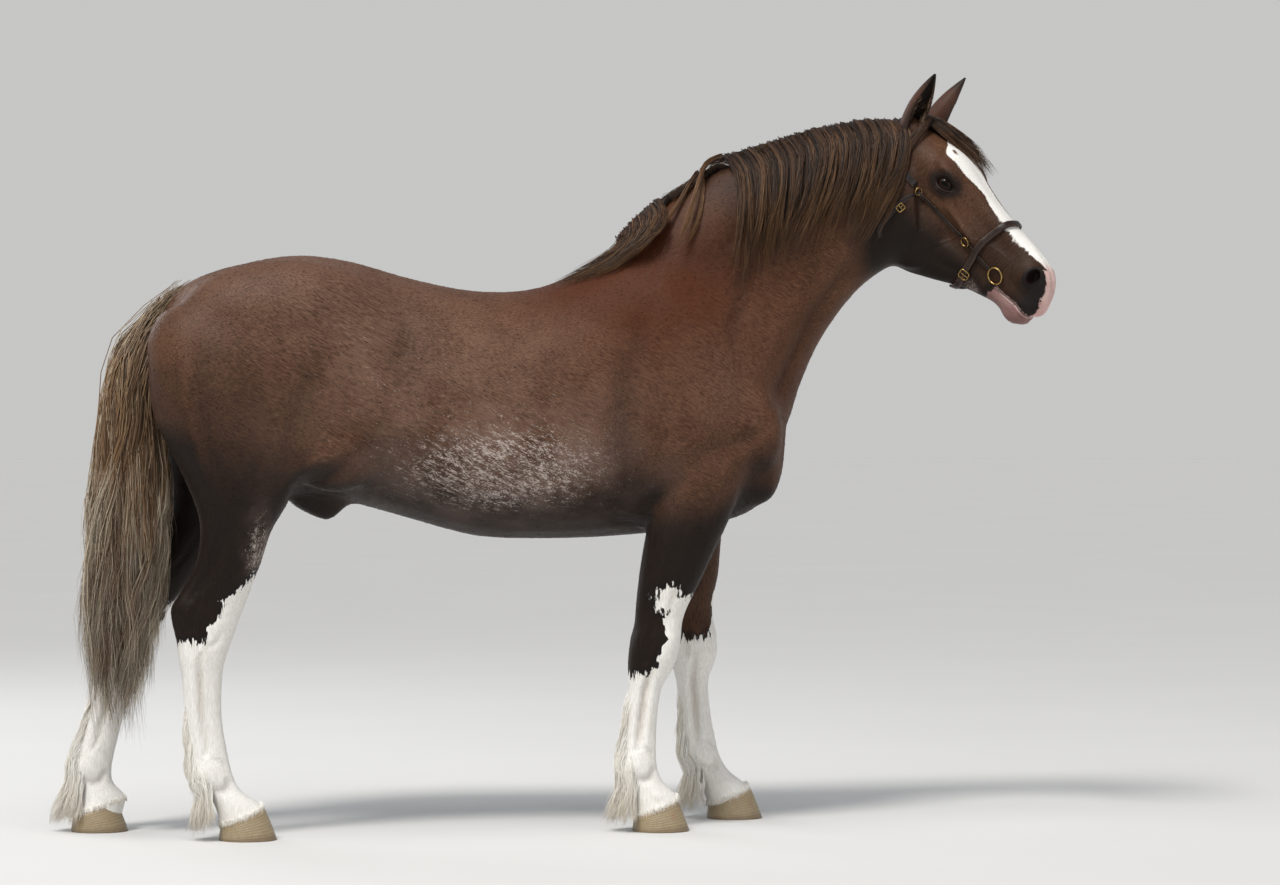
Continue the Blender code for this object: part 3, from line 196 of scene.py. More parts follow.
# Skull and lower jaw: distance from the poll, top and bottom of the section, half width, egg
SKULL = [
    (-0.040, -0.015, -0.170, 0.074, 0.00),
    (0.020, 0.012, -0.170, 0.080, 0.05),
    (0.075, 0.033, -0.165, 0.090, 0.12),
    (0.130, 0.047, -0.155, 0.096, 0.20),
    (0.180, 0.050, -0.140, 0.094, 0.22),
    (0.240, 0.046, -0.125, 0.080, 0.12),
    (0.310, 0.045, -0.118, 0.067, 0.05),
    (0.390, 0.050, -0.110, 0.058, 0.00),
    (0.450, 0.057, -0.100, 0.052, 0.00),
    (0.500, 0.060, -0.090, 0.051, 0.00),
    (0.540, 0.052, -0.080, 0.050, 0.00),
    (0.572, 0.028, -0.070, 0.044, 0.00),
    (0.592, -0.004, -0.060, 0.028, 0.00),
]
JAW = [
    (0.060, -0.110, -0.236, 0.050, 0.00),
    (0.120, -0.100, -0.278, 0.064, 0.00),
    (0.190, -0.100, -0.296, 0.070, 0.10),
    (0.260, -0.090, -0.284, 0.066, 0.20),
    (0.330, -0.080, -0.238, 0.055, 0.25),
    (0.400, -0.070, -0.182, 0.044, 0.20),
    (0.460, -0.065, -0.140, 0.038, 0.10),
    (0.500, -0.065, -0.122, 0.036, 0.00),
    (0.540, -0.065, -0.115, 0.036, 0.00),
    (0.574, -0.067, -0.106, 0.031, 0.00),
    (0.592, -0.073, -0.098, 0.020, 0.00),
]

# Bone and soft masses of the head: place along, out of and beside the face, and radii
HEAD_MASSES = [
    ((0.172, 0.006, 0.078), (0.052, 0.030, 0.024)),
    ((0.205, -0.175, 0.046), (0.110, 0.106, 0.036)),
    ((0.285, -0.050, 0.058), (0.095, 0.014, 0.014)),
    ((0.522, 0.006, 0.034), (0.046, 0.042, 0.026)),
    ((0.566, -0.040, 0.020), (0.034, 0.037, 0.032)),
    ((0.010, -0.016, 0.050), (0.044, 0.034, 0.032)),
]
CHIN = ((0.544, -0.101, 0.0), (0.036, 0.021, 0.036))

# Eyes, lids, nostrils and the line of the mouth, by the head's axes
EYE_PLACE = (0.190, -0.018, 0.0705)
EYE_RADIUS = 0.0272
LID_THICKNESS = 0.0034
LID_HALF_LENGTH = 0.0262
LID_HALF_HEIGHT = 0.0152
NOSTRIL_PLACE = (0.527, 0.022, 0.052)
NOSTRIL_RADII = (0.014, 0.021, 0.024)
NOSTRIL_LEAN = math.radians(-28)
MOUTH_LINE = [(0.640, -0.070), (0.585, -0.064), (0.545, -0.068), (0.500, -0.080), (0.462, -0.083)]

# The voxels that fuse the masses, the smoothing over all and over the trunk, the share of
# faces that is kept on the trunk, and how deep the hide lies under the tips of its coat
HIDE_VOXEL = 0.0070
HIDE_SMOOTHING = 6
TRUNK_SMOOTHING = 90
TRUNK_FACES = 0.10
COAT_DEPTH = 0.0016


def on_head(along, out, beside=0.0):
    """A point of the head, from its own measures."""
    return POLL + ALONG_FACE * along + OUT_OF_FACE * out + LEFT_OF_FACE * beside


def at_height(table, height):
    """Reads a falling table of (height, value)."""
    highs = [row[0] for row in reversed(table)]
    values = [row[1] for row in reversed(table)]
    return np.interp(height, highs, values)


def curved(before, first, second, after, s):
    """What lies at a share s of the way from first to second, on a smooth curve through all four."""
    return 0.5 * (
        2 * first + (second - before) * s
        + (2 * before - 5 * first + 4 * second - after) * s**2
        + (3 * first - before - 3 * second + after) * s**3
    )


def smooth_rows(rows, steps):
    """Adds rows of numbers on smooth curves through the given ones."""
    rows = np.array(rows, float)
    made = []
    for i in range(len(rows) - 1):
        before, first, second, after = (rows[min(max(i + k, 0), len(rows) - 1)] for k in (-1, 0, 1, 2))
        for step in range(steps):
            made.append(curved(before, first, second, after, step / steps))
    made.append(rows[-1])
    return np.array(made)


def tube(shape, rows, sides, steps, closed=False):
    """Bridges rings into a tube. A row is top, bottom, half width, egg and squareness."""
    rows = smooth_rows(rows, steps) if steps > 1 else np.array(rows, float)
    tops = [Vector(row[0:3]) for row in rows]
    bottoms = [Vector(row[3:6]) for row in rows]
    centres = [(top + bottom) / 2 for top, bottom in zip(tops, bottoms)]
    last = len(rows) - 1
    loops = []
    for i, row in enumerate(rows):
        if closed:
            ahead = centres[(i + 1) % len(rows)] - centres[i - 1]
        else:
            ahead = centres[min(i + 1, last)] - centres[max(i - 1, 0)]
        up = (tops[i] - bottoms[i]) / 2
        side = up.cross(ahead).normalized() * row[6]
        capped = not closed and i in (0, last)
        verts = bmesh.ops.create_circle(shape, segments=sides, radius=1.0, cap_ends=capped)["verts"]
        for vert in verts:
            v = math.copysign(abs(vert.co.y) ** row[8], vert.co.y)
            h = math.copysign(abs(vert.co.x) ** row[8], vert.co.x)
            vert.co = centres[i] + up * v + side * h * (1 + row[7] * v)
        loops.append(list({edge for vert in verts for edge in vert.link_edges}))
    for first, second in zip(loops, loops[1:] + (loops[:1] if closed else [])):
        bmesh.ops.bridge_loops(shape, edges=first + second)


def ball(shape, centre, radii, axes=Matrix.Identity(3), fineness=4):
    """An ellipsoid of those radii along its axes."""
    place = Matrix.Translation(Vector(centre)) @ axes.to_4x4() @ Matrix.Diagonal((*radii, 1.0))
    bmesh.ops.create_icosphere(shape, subdivisions=fineness, radius=1.0, matrix=place)


def limb_tables(end):
    if end == "front":
        return FORE_LIMB, FORE_AXIS, FORE_Y, LEFT_FORE_SHIFT
    return HIND_LIMB, HIND_AXIS, HIND_Y, LEFT_HIND_SHIFT


def limb_axis(end, side, height):
    """How far forward a limb's middle is at a height. side is -1 for the right, 1 for the left."""
    _, axis, _, shift = limb_tables(end)
    return at_height(axis, height) + (at_height(shift, height) if side > 0 else 0.0)


def limb_rows(end, side):
    rows = []
    stations, _, spread, _ = limb_tables(end)
    for height, before, behind, half_width in stations:
        x, y = limb_axis(end, side, height), side * at_height(spread, height)
        rows.append((x + before, y, height, x - behind, y, height, half_width, 0.0, 0.92))
    return rows


def finished(shape, name, smooth=True):
    """Turns a bmesh into an object, its faces outwards."""
    bmesh.ops.recalc_face_normals(shape, faces=shape.faces)
    mesh = bpy.data.meshes.new(name)
    shape.to_mesh(mesh)
    shape.free()
    if smooth:
        mesh.shade_smooth()
    made = bpy.data.objects.new(name, mesh)
    bpy.context.scene.collection.objects.link(made)
    return made


def placed(piece, material):
    """Carries a piece to where the model stands, and gives it its material."""
    piece.data.transform(Matrix.Translation(STANCE))
    piece.data.materials.append(material)


def settle(thing):
    """Replaces an object's mesh by what its modifiers make of it."""
    graph = bpy.context.evaluated_depsgraph_get()
    graph.update()
    mesh = bpy.data.meshes.new_from_object(thing.evaluated_get(graph))
    thing.modifiers.clear()
    old = thing.data
    thing.data = mesh
    bpy.data.meshes.remove(old)
    return thing


def read_points(mesh, what="co"):
    """The corners of a mesh, or the ways out of it there, as an array."""
    flat = np.empty(len(mesh.vertices) * 3, np.float32)
    if what == "co":
        mesh.vertices.foreach_get("co", flat)
    else:
        mesh.vertex_normals.foreach_get("vector", flat)
    return flat.reshape(-1, 3).astype(float)


def place_points(mesh, points):
    mesh.vertices.foreach_set("co", points.astype(np.float32).ravel())
    mesh.update()


def eased(value):
    """0 below 0, 1 above 1, and smooth between."""
    value = np.clip(value, 0.0, 1.0)
    return value * value * (3 - 2 * value)


flesh = bmesh.new()
tube(flesh, [(x, 0, top, x, 0, low, width, egg, square) for x, top, low, width, egg, square in TRUNK], 32, 4)
tube(flesh, [(*row, -0.16, 0.95) for row in NECK], 28, 4)
tube(flesh, [
    (-0.480, 0, 0.900, -0.505, 0, 0.866, 0.050, 0, 1),
    (-0.540, 0, 0.880, -0.540, 0, 0.816, 0.048, 0, 1),
    (-0.640, 0, 0.905, -0.580, 0, 0.796, 0.046, 0, 1),
    (-0.740, 0, 0.950, -0.660, 0, 0.832, 0.050, 0, 1),
], 16, 4)
for centre, radii, lean in TRUNK_MASSES:
    for side in (-1, 1):
        tilt = Matrix.Rotation(math.radians(-lean), 3, "Y")
        ball(flesh, (centre[0], side * centre[1], centre[2]), radii, tilt)
for side in (-1, 1):
    tube(flesh, limb_rows("front", side), 20, 4)
    tube(flesh, limb_rows("hind", side), 20, 4)
for x, y in HOOF_PLACES.values():
    shift, radii = CORONET_ROLL
    place = (x + shift, y, CORONET_HEIGHT + shift * math.tan(CORONET_SLOPE) + 0.006)
    ball(flesh, place, radii, Matrix.Rotation(-CORONET_SLOPE, 3, "Y"))
for table in (SKULL, JAW):
    rows = [(*on_head(at, top), *on_head(at, low), width, egg, 0.9) for at, top, low, width, egg in table]
    tube(flesh, rows, 24, 4)
for (along, out, beside), radii in HEAD_MASSES:
    for side in (-1, 1):
        ball(flesh, on_head(along, out, side * beside), radii, HEAD_AXES)
ball(flesh, on_head(*CHIN[0]), CHIN[1], HEAD_AXES)
hide = finished(flesh, "hide")
fuse = hide.modifiers.new("fuse", "REMESH")
fuse.mode = "VOXEL"
fuse.voxel_size = HIDE_VOXEL
settle(hide)


def grouped(thing, name, shares):
    """A vertex group with those shares."""
    made = thing.vertex_groups.new(name=name)
    for index in np.flatnonzero(shares > 0.001):
        made.add([int(index)], float(shares[index]), "REPLACE")
    return made.name


def head_places(points):
    """Along, out of and beside the face, for an array of points."""
    return (points - np.array(POLL)) @ np.array(HEAD_AXES)


def sided(place, side):
    """A place on one side of the head, from its measures for the left side."""
    return on_head(place[0], place[1], place[2] * side)


def eye_axes(side):
    """The way out of an eye, along its lids and across them."""
    outward = (LEFT_OF_FACE * side * 0.93 + HEAD_FORWARD * 0.30 + UP * 0.02).normalized()
    along = ALONG_FACE * 0.76 + HEAD_FORWARD * 0.58
    along = (along - outward * along.dot(outward)).normalized()
    return outward, along, outward.cross(along) * -side


# The head is told from the neck by a plane behind the jaw
THROAT = POLL - HEAD_FORWARD * 0.080 - UP * 0.185
THROAT_TILT = math.radians(10.7)


def past_the_throat(points):
    """How far points lie on the head's side of that plane."""
    way = HEAD_FORWARD * math.cos(THROAT_TILT) - UP * math.sin(THROAT_TILT)
    return (points - np.array(THROAT)) @ np.array(way)


# The trunk is smoothed most, and keeps fewer faces than the head and the legs
points = read_points(hide.data)
trunk_share = np.clip(np.minimum((points[:, 2] - 0.74) / 0.14, (0.93 - points[:, 0]) / 0.12), 0, 1)
soften = hide.modifiers.new("soften", "SMOOTH")
soften.factor = 0.5
soften.iterations = HIDE_SMOOTHING
blend = hide.modifiers.new("blend the muscles", "SMOOTH")
blend.factor = 0.5
blend.iterations = TRUNK_SMOOTHING
blend.vertex_group = grouped(hide, "trunk", trunk_share)
settle(hide)
hide.vertex_groups.clear()

points = read_points(hide.data)
on_trunk = (past_the_throat(points) < 0.0) & (points[:, 2] > 0.64)
fewer = hide.modifiers.new("fewer faces", "DECIMATE")
fewer.ratio = 1 - (1 - TRUNK_FACES) * on_trunk.mean()
fewer.vertex_group = grouped(hide, "trunk", on_trunk.astype(float))
settle(hide)
hide.vertex_groups.clear()


def finer(mesh, wanted):
    """Splits the edges whose both ends are wanted."""
    shape = bmesh.new()
    shape.from_mesh(mesh)
    shape.verts.ensure_lookup_table()
    edges = [edge for edge in shape.edges if wanted[edge.verts[0].index] and wanted[edge.verts[1].index]]
    bmesh.ops.subdivide_edges(shape, edges=edges, cuts=1, use_grid_fill=True)
    shape.to_mesh(mesh)
    shape.free()


def smoothed(mesh, share, rounds):
    """Relaxes the corners of a mesh, each by its share."""
    shape = bmesh.new()
    shape.from_mesh(mesh)
    shape.verts.ensure_lookup_table()
    chosen = [shape.verts[int(i)] for i in np.flatnonzero(share > 0.0)]
    for _ in range(rounds):
        bmesh.ops.smooth_vert(
            shape, verts=chosen, factor=0.5, use_axis_x=True, use_axis_y=True, use_axis_z=True
        )
    shape.to_mesh(mesh)
    shape.free()


points = read_points(hide.data)
finer(hide.data, past_the_throat(points) > 0.030)
points = read_points(hide.data)
smoothed(hide.data, past_the_throat(points) - 0.01, 2)

# Eyes, nostrils and mouth get the finest faces
points = read_points(hide.data)
along, out, _ = head_places(points).T
fine_places = (along > 0.455) & (np.abs(out + 0.072) < 0.020)
for side in (-1, 1):
    for place, reach in ((EYE_PLACE, 0.040), (NOSTRIL_PLACE, 0.036)):
        apart = np.linalg.norm(points - np.array(sided(place, side)), axis=1)
        fine_places |= apart < reach
finer(hide.data, fine_places & (past_the_throat(points) > 0.02))


def felt(u, v, line, radius):
    """How strongly a stroke is felt at places (u, v). A point of its line is u, v and strength."""
    rows = smooth_rows([(*row, 1.0) if len(row) == 2 else row for row in line], 4)
    nearest = np.full(len(u), 1e9)
    strength = np.zeros(len(u))
    for (u0, v0, s0), (u1, v1, s1) in zip(rows, rows[1:]):
        du, dv = u1 - u0, v1 - v0
        share = np.clip(((u - u0) * du + (v - v0) * dv) / max(du * du + dv * dv, 1e-9), 0, 1)
        apart = (u - u0 - share * du) ** 2 + (v - v0 - share * dv) ** 2
        closer = apart < nearest
        nearest = np.where(closer, apart, nearest)
        strength = np.where(closer, s0 + (s1 - s0) * share, strength)
    return np.exp(-nearest / radius**2) * np.clip(strength, 0, 1)


# Strokes on both sides of trunk and neck: line in x and z, radius, and height, which cuts in
# where it is less than 0
TRUNK_STROKES = [
    ([(0.46, 1.50, 0.2), (0.485, 1.42, 0.9), (0.475, 1.34, 1), (0.446, 1.27, 0.8), (0.47, 1.17, 0.3)],
     0.020, -0.0075),
    ([(0.25, 1.42, 0.2), (0.34, 1.32, 1), (0.44, 1.20, 1), (0.53, 1.10, 0.4)], 0.030, 0.0050),
    ([(0.22, 1.34, 0.2), (0.16, 1.18, 0.8), (0.14, 1.02, 1), (0.17, 0.88, 0.9)], 0.036, -0.0085),
    ([(0.55, 1.05, 0.5), (0.47, 1.00, 1), (0.37, 0.97, 0.8), (0.27, 0.94, 0.3)], 0.022, -0.0050),
    ([(0.16, 0.85, 0.5), (0.22, 0.815, 1), (0.27, 0.80, 0.6)], 0.020, 0.0080),
    ([(0.13, 0.82, 0.6), (0.18, 0.79, 1), (0.24, 0.77, 0.4)], 0.014, -0.0060),
    ([(0.56, 1.10, 0.7), (0.565, 1.04, 1), (0.555, 0.96, 0.5)], 0.036, 0.0060),
    ([(0.55, 1.08, 0.4), (0.59, 1.14, 1), (0.64, 1.24, 1), (0.69, 1.34, 1), (0.745, 1.42, 1),
      (0.80, 1.50, 0.5)], 0.017, -0.0070),
    ([(0.53, 1.17, 0.5), (0.58, 1.28, 1), (0.635, 1.39, 1), (0.70, 1.49, 1), (0.77, 1.57, 0.4)],
     0.034, 0.0060),
    ([(0.40, 1.46, 0.4), (0.50, 1.54, 1), (0.62, 1.62, 1), (0.76, 1.68, 0.4)], 0.032, -0.0050),
    ([(-0.40, 1.33, 0.5), (-0.42, 1.26, 1), (-0.40, 1.16, 0.5)], 0.050, -0.0080),
    ([(-0.50, 1.28, 1), (-0.47, 1.33, 1)], 0.060, 0.0030),
    ([(-0.50, 1.02, 0.2), (-0.60, 0.97, 0.9), (-0.675, 0.935, 1), (-0.71, 0.88, 0.7)], 0.020, 0.0100),
    ([(-0.56, 0.93, 0.3), (-0.62, 0.905, 1), (-0.67, 0.865, 0.8)], 0.018, -0.0100),
    ([(-0.60, 1.28, 0.2), (-0.66, 1.14, 1), (-0.70, 1.02, 0.8), (-0.72, 0.94, 0.2)], 0.034, -0.0060),
    ([(-0.915, 1.29, 0.2), (-0.93, 1.16, 1), (-0.915, 1.02, 1), (-0.885, 0.90, 0.5)], 0.020, -0.0060),
    ([(-0.66, 0.98, 1), (-0.665, 0.93, 1)], 0.034, 0.0050),
    ([(-0.78, 0.98, 0.3), (-0.80, 0.89, 1), (-0.81, 0.82, 0.3)], 0.018, -0.0040),
    ([(0.12, 0.93, 0.3), (-0.02, 0.89, 1), (-0.18, 0.88, 1), (-0.32, 0.90, 0.3)], 0.0065, 0.0022),
    ([(0.865, 1.66, 0.2), (0.885, 1.58, 1), (0.905, 1.51, 0.7)], 0.010, -0.0050),
    ([(0.835, 1.64, 0.2), (0.85, 1.56, 1), (0.87, 1.49, 0.6)], 0.009, -0.0035),
]
for x in (0.03, -0.05, -0.13, -0.21, -0.29):
    TRUNK_STROKES.append(([(x - 0.02, 1.22, 0.2), (x, 1.10, 1), (x - 0.02, 0.95, 0.6)], 0.016, -0.0016))

# Between the breasts, in y and z, and along the belly, in x and y
BREAST_STROKE = ([(0, 1.14, 0.1), (0, 1.02, 1), (0, 0.86, 1)], 0.020, -0.014)
BELLY_STROKE = ([(0.1, 0, 0.5), (-0.2, 0, 1), (-0.4, 0, 0.4)], 0.014, -0.003)

# The same for the legs: line in distance ahead of the limb's axis and height
LIMB_STROKES = {
    "front": [
        ([(0.03, 0.80, 0.3), (0.020, 0.70, 1), (0.008, 0.60, 0.8), (0.005, 0.54, 0.2)], 0.013, -0.0045),
        ([(-0.03, 0.74, 0.3), (-0.032, 0.66, 1), (-0.028, 0.58, 0.6)], 0.011, -0.0035),
        ([(0.025, 0.52, 0.5), (0.028, 0.49, 1), (0.022, 0.45, 0.6)], 0.022, 0.0040),
        ([(-0.052, 0.52, 0.4), (-0.058, 0.495, 1), (-0.052, 0.47, 0.4)], 0.012, 0.0055),
        ([(-0.032, 0.53, 0.4), (-0.034, 0.49, 1), (-0.028, 0.44, 0.8)], 0.009, -0.0050),
        ([(-0.006, 0.44, 0.4), (-0.009, 0.36, 1), (-0.010, 0.28, 1), (-0.014, 0.215, 0.6)], 0.0085, -0.0095),
        ([(-0.028, 0.42, 0.3), (-0.029, 0.35, 1), (-0.029, 0.27, 1), (-0.028, 0.22, 0.3)], 0.0065, 0.0034),
        ([(0.014, 0.40, 0.3), (0.012, 0.33, 1), (0.010, 0.26, 1), (0.006, 0.21, 0.3)], 0.0100, 0.0030),
        ([(-0.006, 0.210, 0.6), (-0.010, 0.176, 1), (-0.004, 0.146, 0.6)], 0.0240, 0.0034),
        ([(0.030, 0.160, 0.6), (0.012, 0.140, 1), (-0.012, 0.132, 0.8)], 0.0090, -0.0075),
        ([(0.034, 0.188, 0.4), (0.022, 0.205, 1), (0.002, 0.215, 0.5)], 0.0070, -0.0040),
        ([(0.000, 0.112, 0.5), (0.012, 0.095, 1), (0.020, 0.085, 0.5)], 0.0120, 0.0040),
    ],
    "hind": [
        ([(-0.040, 0.79, 0.3), (-0.050, 0.72, 1), (-0.058, 0.66, 1), (-0.066, 0.615, 0.5)], 0.015, -0.0120),
        ([(0.015, 0.78, 0.4), (0.012, 0.71, 1), (0.008, 0.64, 0.4)], 0.013, -0.0040),
        ([(-0.095, 0.605, 0.6), (-0.100, 0.585, 1), (-0.092, 0.56, 0.5)], 0.018, 0.0050),
        ([(-0.046, 0.605, 0.6), (-0.048, 0.575, 1), (-0.045, 0.54, 0.5)], 0.013, -0.0060),
        ([(0.020, 0.57, 0.6), (0.016, 0.54, 1), (0.012, 0.51, 0.5)], 0.022, 0.0040),
        ([(-0.012, 0.47, 0.3), (-0.012, 0.39, 1), (-0.010, 0.30, 1), (-0.014, 0.22, 0.5)], 0.0085, -0.0095),
        ([(-0.034, 0.46, 0.3), (-0.034, 0.38, 1), (-0.031, 0.28, 1), (-0.030, 0.22, 0.3)], 0.0065, 0.0034),
        ([(0.002, 0.40, 0.2), (-0.002, 0.33, 1), (-0.016, 0.25, 1), (-0.024, 0.215, 0.4)], 0.0050, 0.0030),
        ([(-0.008, 0.205, 0.6), (-0.012, 0.172, 1), (-0.006, 0.144, 0.6)], 0.0240, 0.0034),
        ([(0.030, 0.152, 0.6), (0.012, 0.134, 1), (-0.012, 0.126, 0.8)], 0.0090, -0.0075),
        ([(0.036, 0.185, 0.4), (0.024, 0.200, 1), (0.004, 0.208, 0.5)], 0.0070, -0.0040),
        ([(0.030, 0.52, 0.4), (0.022, 0.50, 1), (0.004, 0.49, 0.5)], 0.0090, -0.0040),
    ],
}

# And for the sides of the head: line along and out of the face
HEAD_STROKES = [
    ([(0.232, -0.050, 0.3), (0.27, -0.050, 1), (0.32, -0.053, 1), (0.365, -0.057, 0.3)], 0.0080, 0.0045),
    ([(0.240, -0.068, 0.3), (0.29, -0.072, 1), (0.35, -0.074, 0.5)], 0.0110, -0.0040),
    ([(0.262, -0.085, 0.3), (0.290, -0.120, 1), (0.297, -0.165, 1), (0.285, -0.215, 0.8),
      (0.262, -0.262, 0.3)], 0.0150, -0.0050),
    ([(0.215, -0.115, 0.5), (0.235, -0.160, 1), (0.225, -0.215, 0.7)], 0.0340, 0.0035),
    ([(0.085, -0.070, 0.3), (0.062, -0.120, 1), (0.058, -0.170, 1), (0.075, -0.225, 0.5)], 0.0180, -0.0080),
    ([(0.100, -0.110, 0.4), (0.098, -0.165, 1), (0.118, -0.225, 0.6)], 0.0140, 0.0030),
    ([(0.148, 0.008, 0.4), (0.170, 0.017, 1), (0.198, 0.017, 1), (0.222, 0.004, 0.4)], 0.0100, 0.0045),
    ([(0.160, -0.050, 0.3), (0.185, -0.062, 1), (0.212, -0.054, 1), (0.240, -0.044, 0.4)], 0.0100, -0.0040),
    ([(0.218, -0.020, 0.5), (0.245, -0.030, 1), (0.275, -0.038, 0.3)], 0.0080, -0.0035),
    ([(0.255, 0.004, 0.3), (0.320, -0.004, 1), (0.400, 0.000, 1), (0.455, 0.010, 0.4)], 0.0200, -0.0070),
    ([(0.262, 0.034, 0.3), (0.330, 0.034, 1), (0.400, 0.038, 1), (0.450, 0.044, 0.3)], 0.0100, 0.0030),
    ([(0.470, -0.030, 0.3), (0.500, -0.036, 1), (0.535, -0.030, 0.4)], 0.0120, -0.0035),
    ([(0.560, -0.050, 0.6), (0.530, -0.054, 1), (0.495, -0.062, 0.5)], 0.0090, 0.0028),
    ([(0.565, -0.082, 0.6), (0.530, -0.086, 1), (0.495, -0.094, 0.4)], 0.0090, 0.0028),
    ([(0.470, -0.102, 0.4), (0.455, -0.086, 1), (0.452, -0.070, 0.4)], 0.0055, -0.0030),
    ([(0.468, -0.118, 0.4), (0.490, -0.118, 1), (0.500, -0.130, 0.5)], 0.0120, -0.0024),
    ([(0.262, -0.225, 0.2), (0.282, -0.165, 0.8), (0.300, -0.110, 1), (0.312, -0.064, 1),
      (0.296, -0.026, 0.3)], 0.0030, 0.0018),
    ([(0.330, -0.060, 0.2), (0.370, -0.030, 1), (0.420, -0.012, 0.8), (0.455, -0.006, 0.2)], 0.0026, 0.0014),
    ([(0.310, -0.170, 0.3), (0.360, -0.150, 1), (0.420, -0.122, 0.4)], 0.0120, -0.0040),
]

# Along the middle of the face, the nose and under the jaw: line along and beside the face,
# radius, height, and the span out of the face that it is kept to
MIDDLE_STROKES = [
    ([(0.14, 0, 0.2), (0.24, 0, 0.8), (0.40, 0, 0.2)], 0.016, -0.003, (-0.02, 1)),
    ([(0.470, 0, 0.4), (0.535, 0, 1), (0.580, 0, 1)], 0.008, -0.004, (-0.055, 1)),
    ([(0.20, 0, 0.3), (0.30, 0, 1), (0.43, 0, 0.4)], 0.016, -0.012, (-1, -0.12)),
]

# The hollow over each eye, and the cut of the mouth
TEMPLE_PLACE = (0.120, 0.032, 0.060)
TEMPLE_RADIUS = 0.016
TEMPLE_DEPTH = 0.0070
MOUTH_RADIUS = 0.0034
MOUTH_DEPTH = 0.0062


def worked(mesh):
    """Works the strokes into the hide, and returns how deep each of its corners was cut."""
    points = read_points(mesh)
    ways = read_points(mesh, "normal")
    x, y, z = points.T
    past = past_the_throat(points)
    body = 1.0 - eased(past / 0.04)
    rise = np.zeros(len(points))
    flank = body * np.clip(np.abs(ways[:, 1]) * 1.4 - 0.2, 0, 1)
    high = eased((z - 0.70) / 0.08)
    for line, radius, depth in TRUNK_STROKES:
        rise += felt(x, z, line, radius) * depth * flank * high
    for side in (-1, 1):
        for end in ("front", "hind"):
            ahead = x - limb_axis(end, side, z)
            own = (y * side > 0.02) & (z < 0.82) & (np.abs(ahead) < 0.16)
            weight = np.clip(np.abs(ways[own, 1]) * 1.5 - 0.1, 0, 1)
            for line, radius, depth in LIMB_STROKES[end]:
                rise[own] += felt(ahead[own], z[own], line, radius) * depth * weight
    breast = (x > 0.45) & (past < 0) & (z > 0.7) & (z < 1.2)
    front = np.clip(ways[breast, 0] * 1.3, 0, 1)
    line, radius, depth = BREAST_STROKE
    rise[breast] += felt(y[breast], z[breast], line, radius) * depth * front
    under = (np.abs(y) < 0.06) & (z < 1.0) & (np.abs(x + 0.2) < 0.5)
    line, radius, depth = BELLY_STROKE
    rise[under] += felt(x[under], y[under], line, radius) * depth
    place_points(mesh, points + ways * rise[:, None])
    cut = rise

    points = read_points(mesh)
    ways = read_points(mesh, "normal")
    past = past_the_throat(points)
    chosen = past > -0.03
    along, out, beside = head_places(points[chosen]).T
    aside = np.abs(ways[chosen] @ np.array(LEFT_OF_FACE))
    weight = eased((past[chosen] + 0.03) / 0.05) * np.clip(aside * 1.5 - 0.1, 0, 1)
    rise = np.zeros(chosen.sum())
    for line, radius, depth in HEAD_STROKES:
        rise += felt(along, out, line, radius) * depth * weight
    forward, up, off = TEMPLE_PLACE
    for side in (-1, 1):
        apart = (along - forward) ** 2 + (out - up) ** 2 + (beside - side * off) ** 2
        rise -= np.exp(-apart / TEMPLE_RADIUS**2) * TEMPLE_DEPTH
    for line, radius, depth, (low, high) in MIDDLE_STROKES:
        rise += felt(along, beside, line, radius) * depth * (out > low) * (out < high)
    rise -= felt(along, out, MOUTH_LINE, MOUTH_RADIUS) * MOUTH_DEPTH * (along > 0.45)
    points[chosen] += ways[chosen] * rise[:, None]
    place_points(mesh, points)
    cut[chosen] += rise * 1.4
    return np.clip(-cut / 0.009, 0, 1)


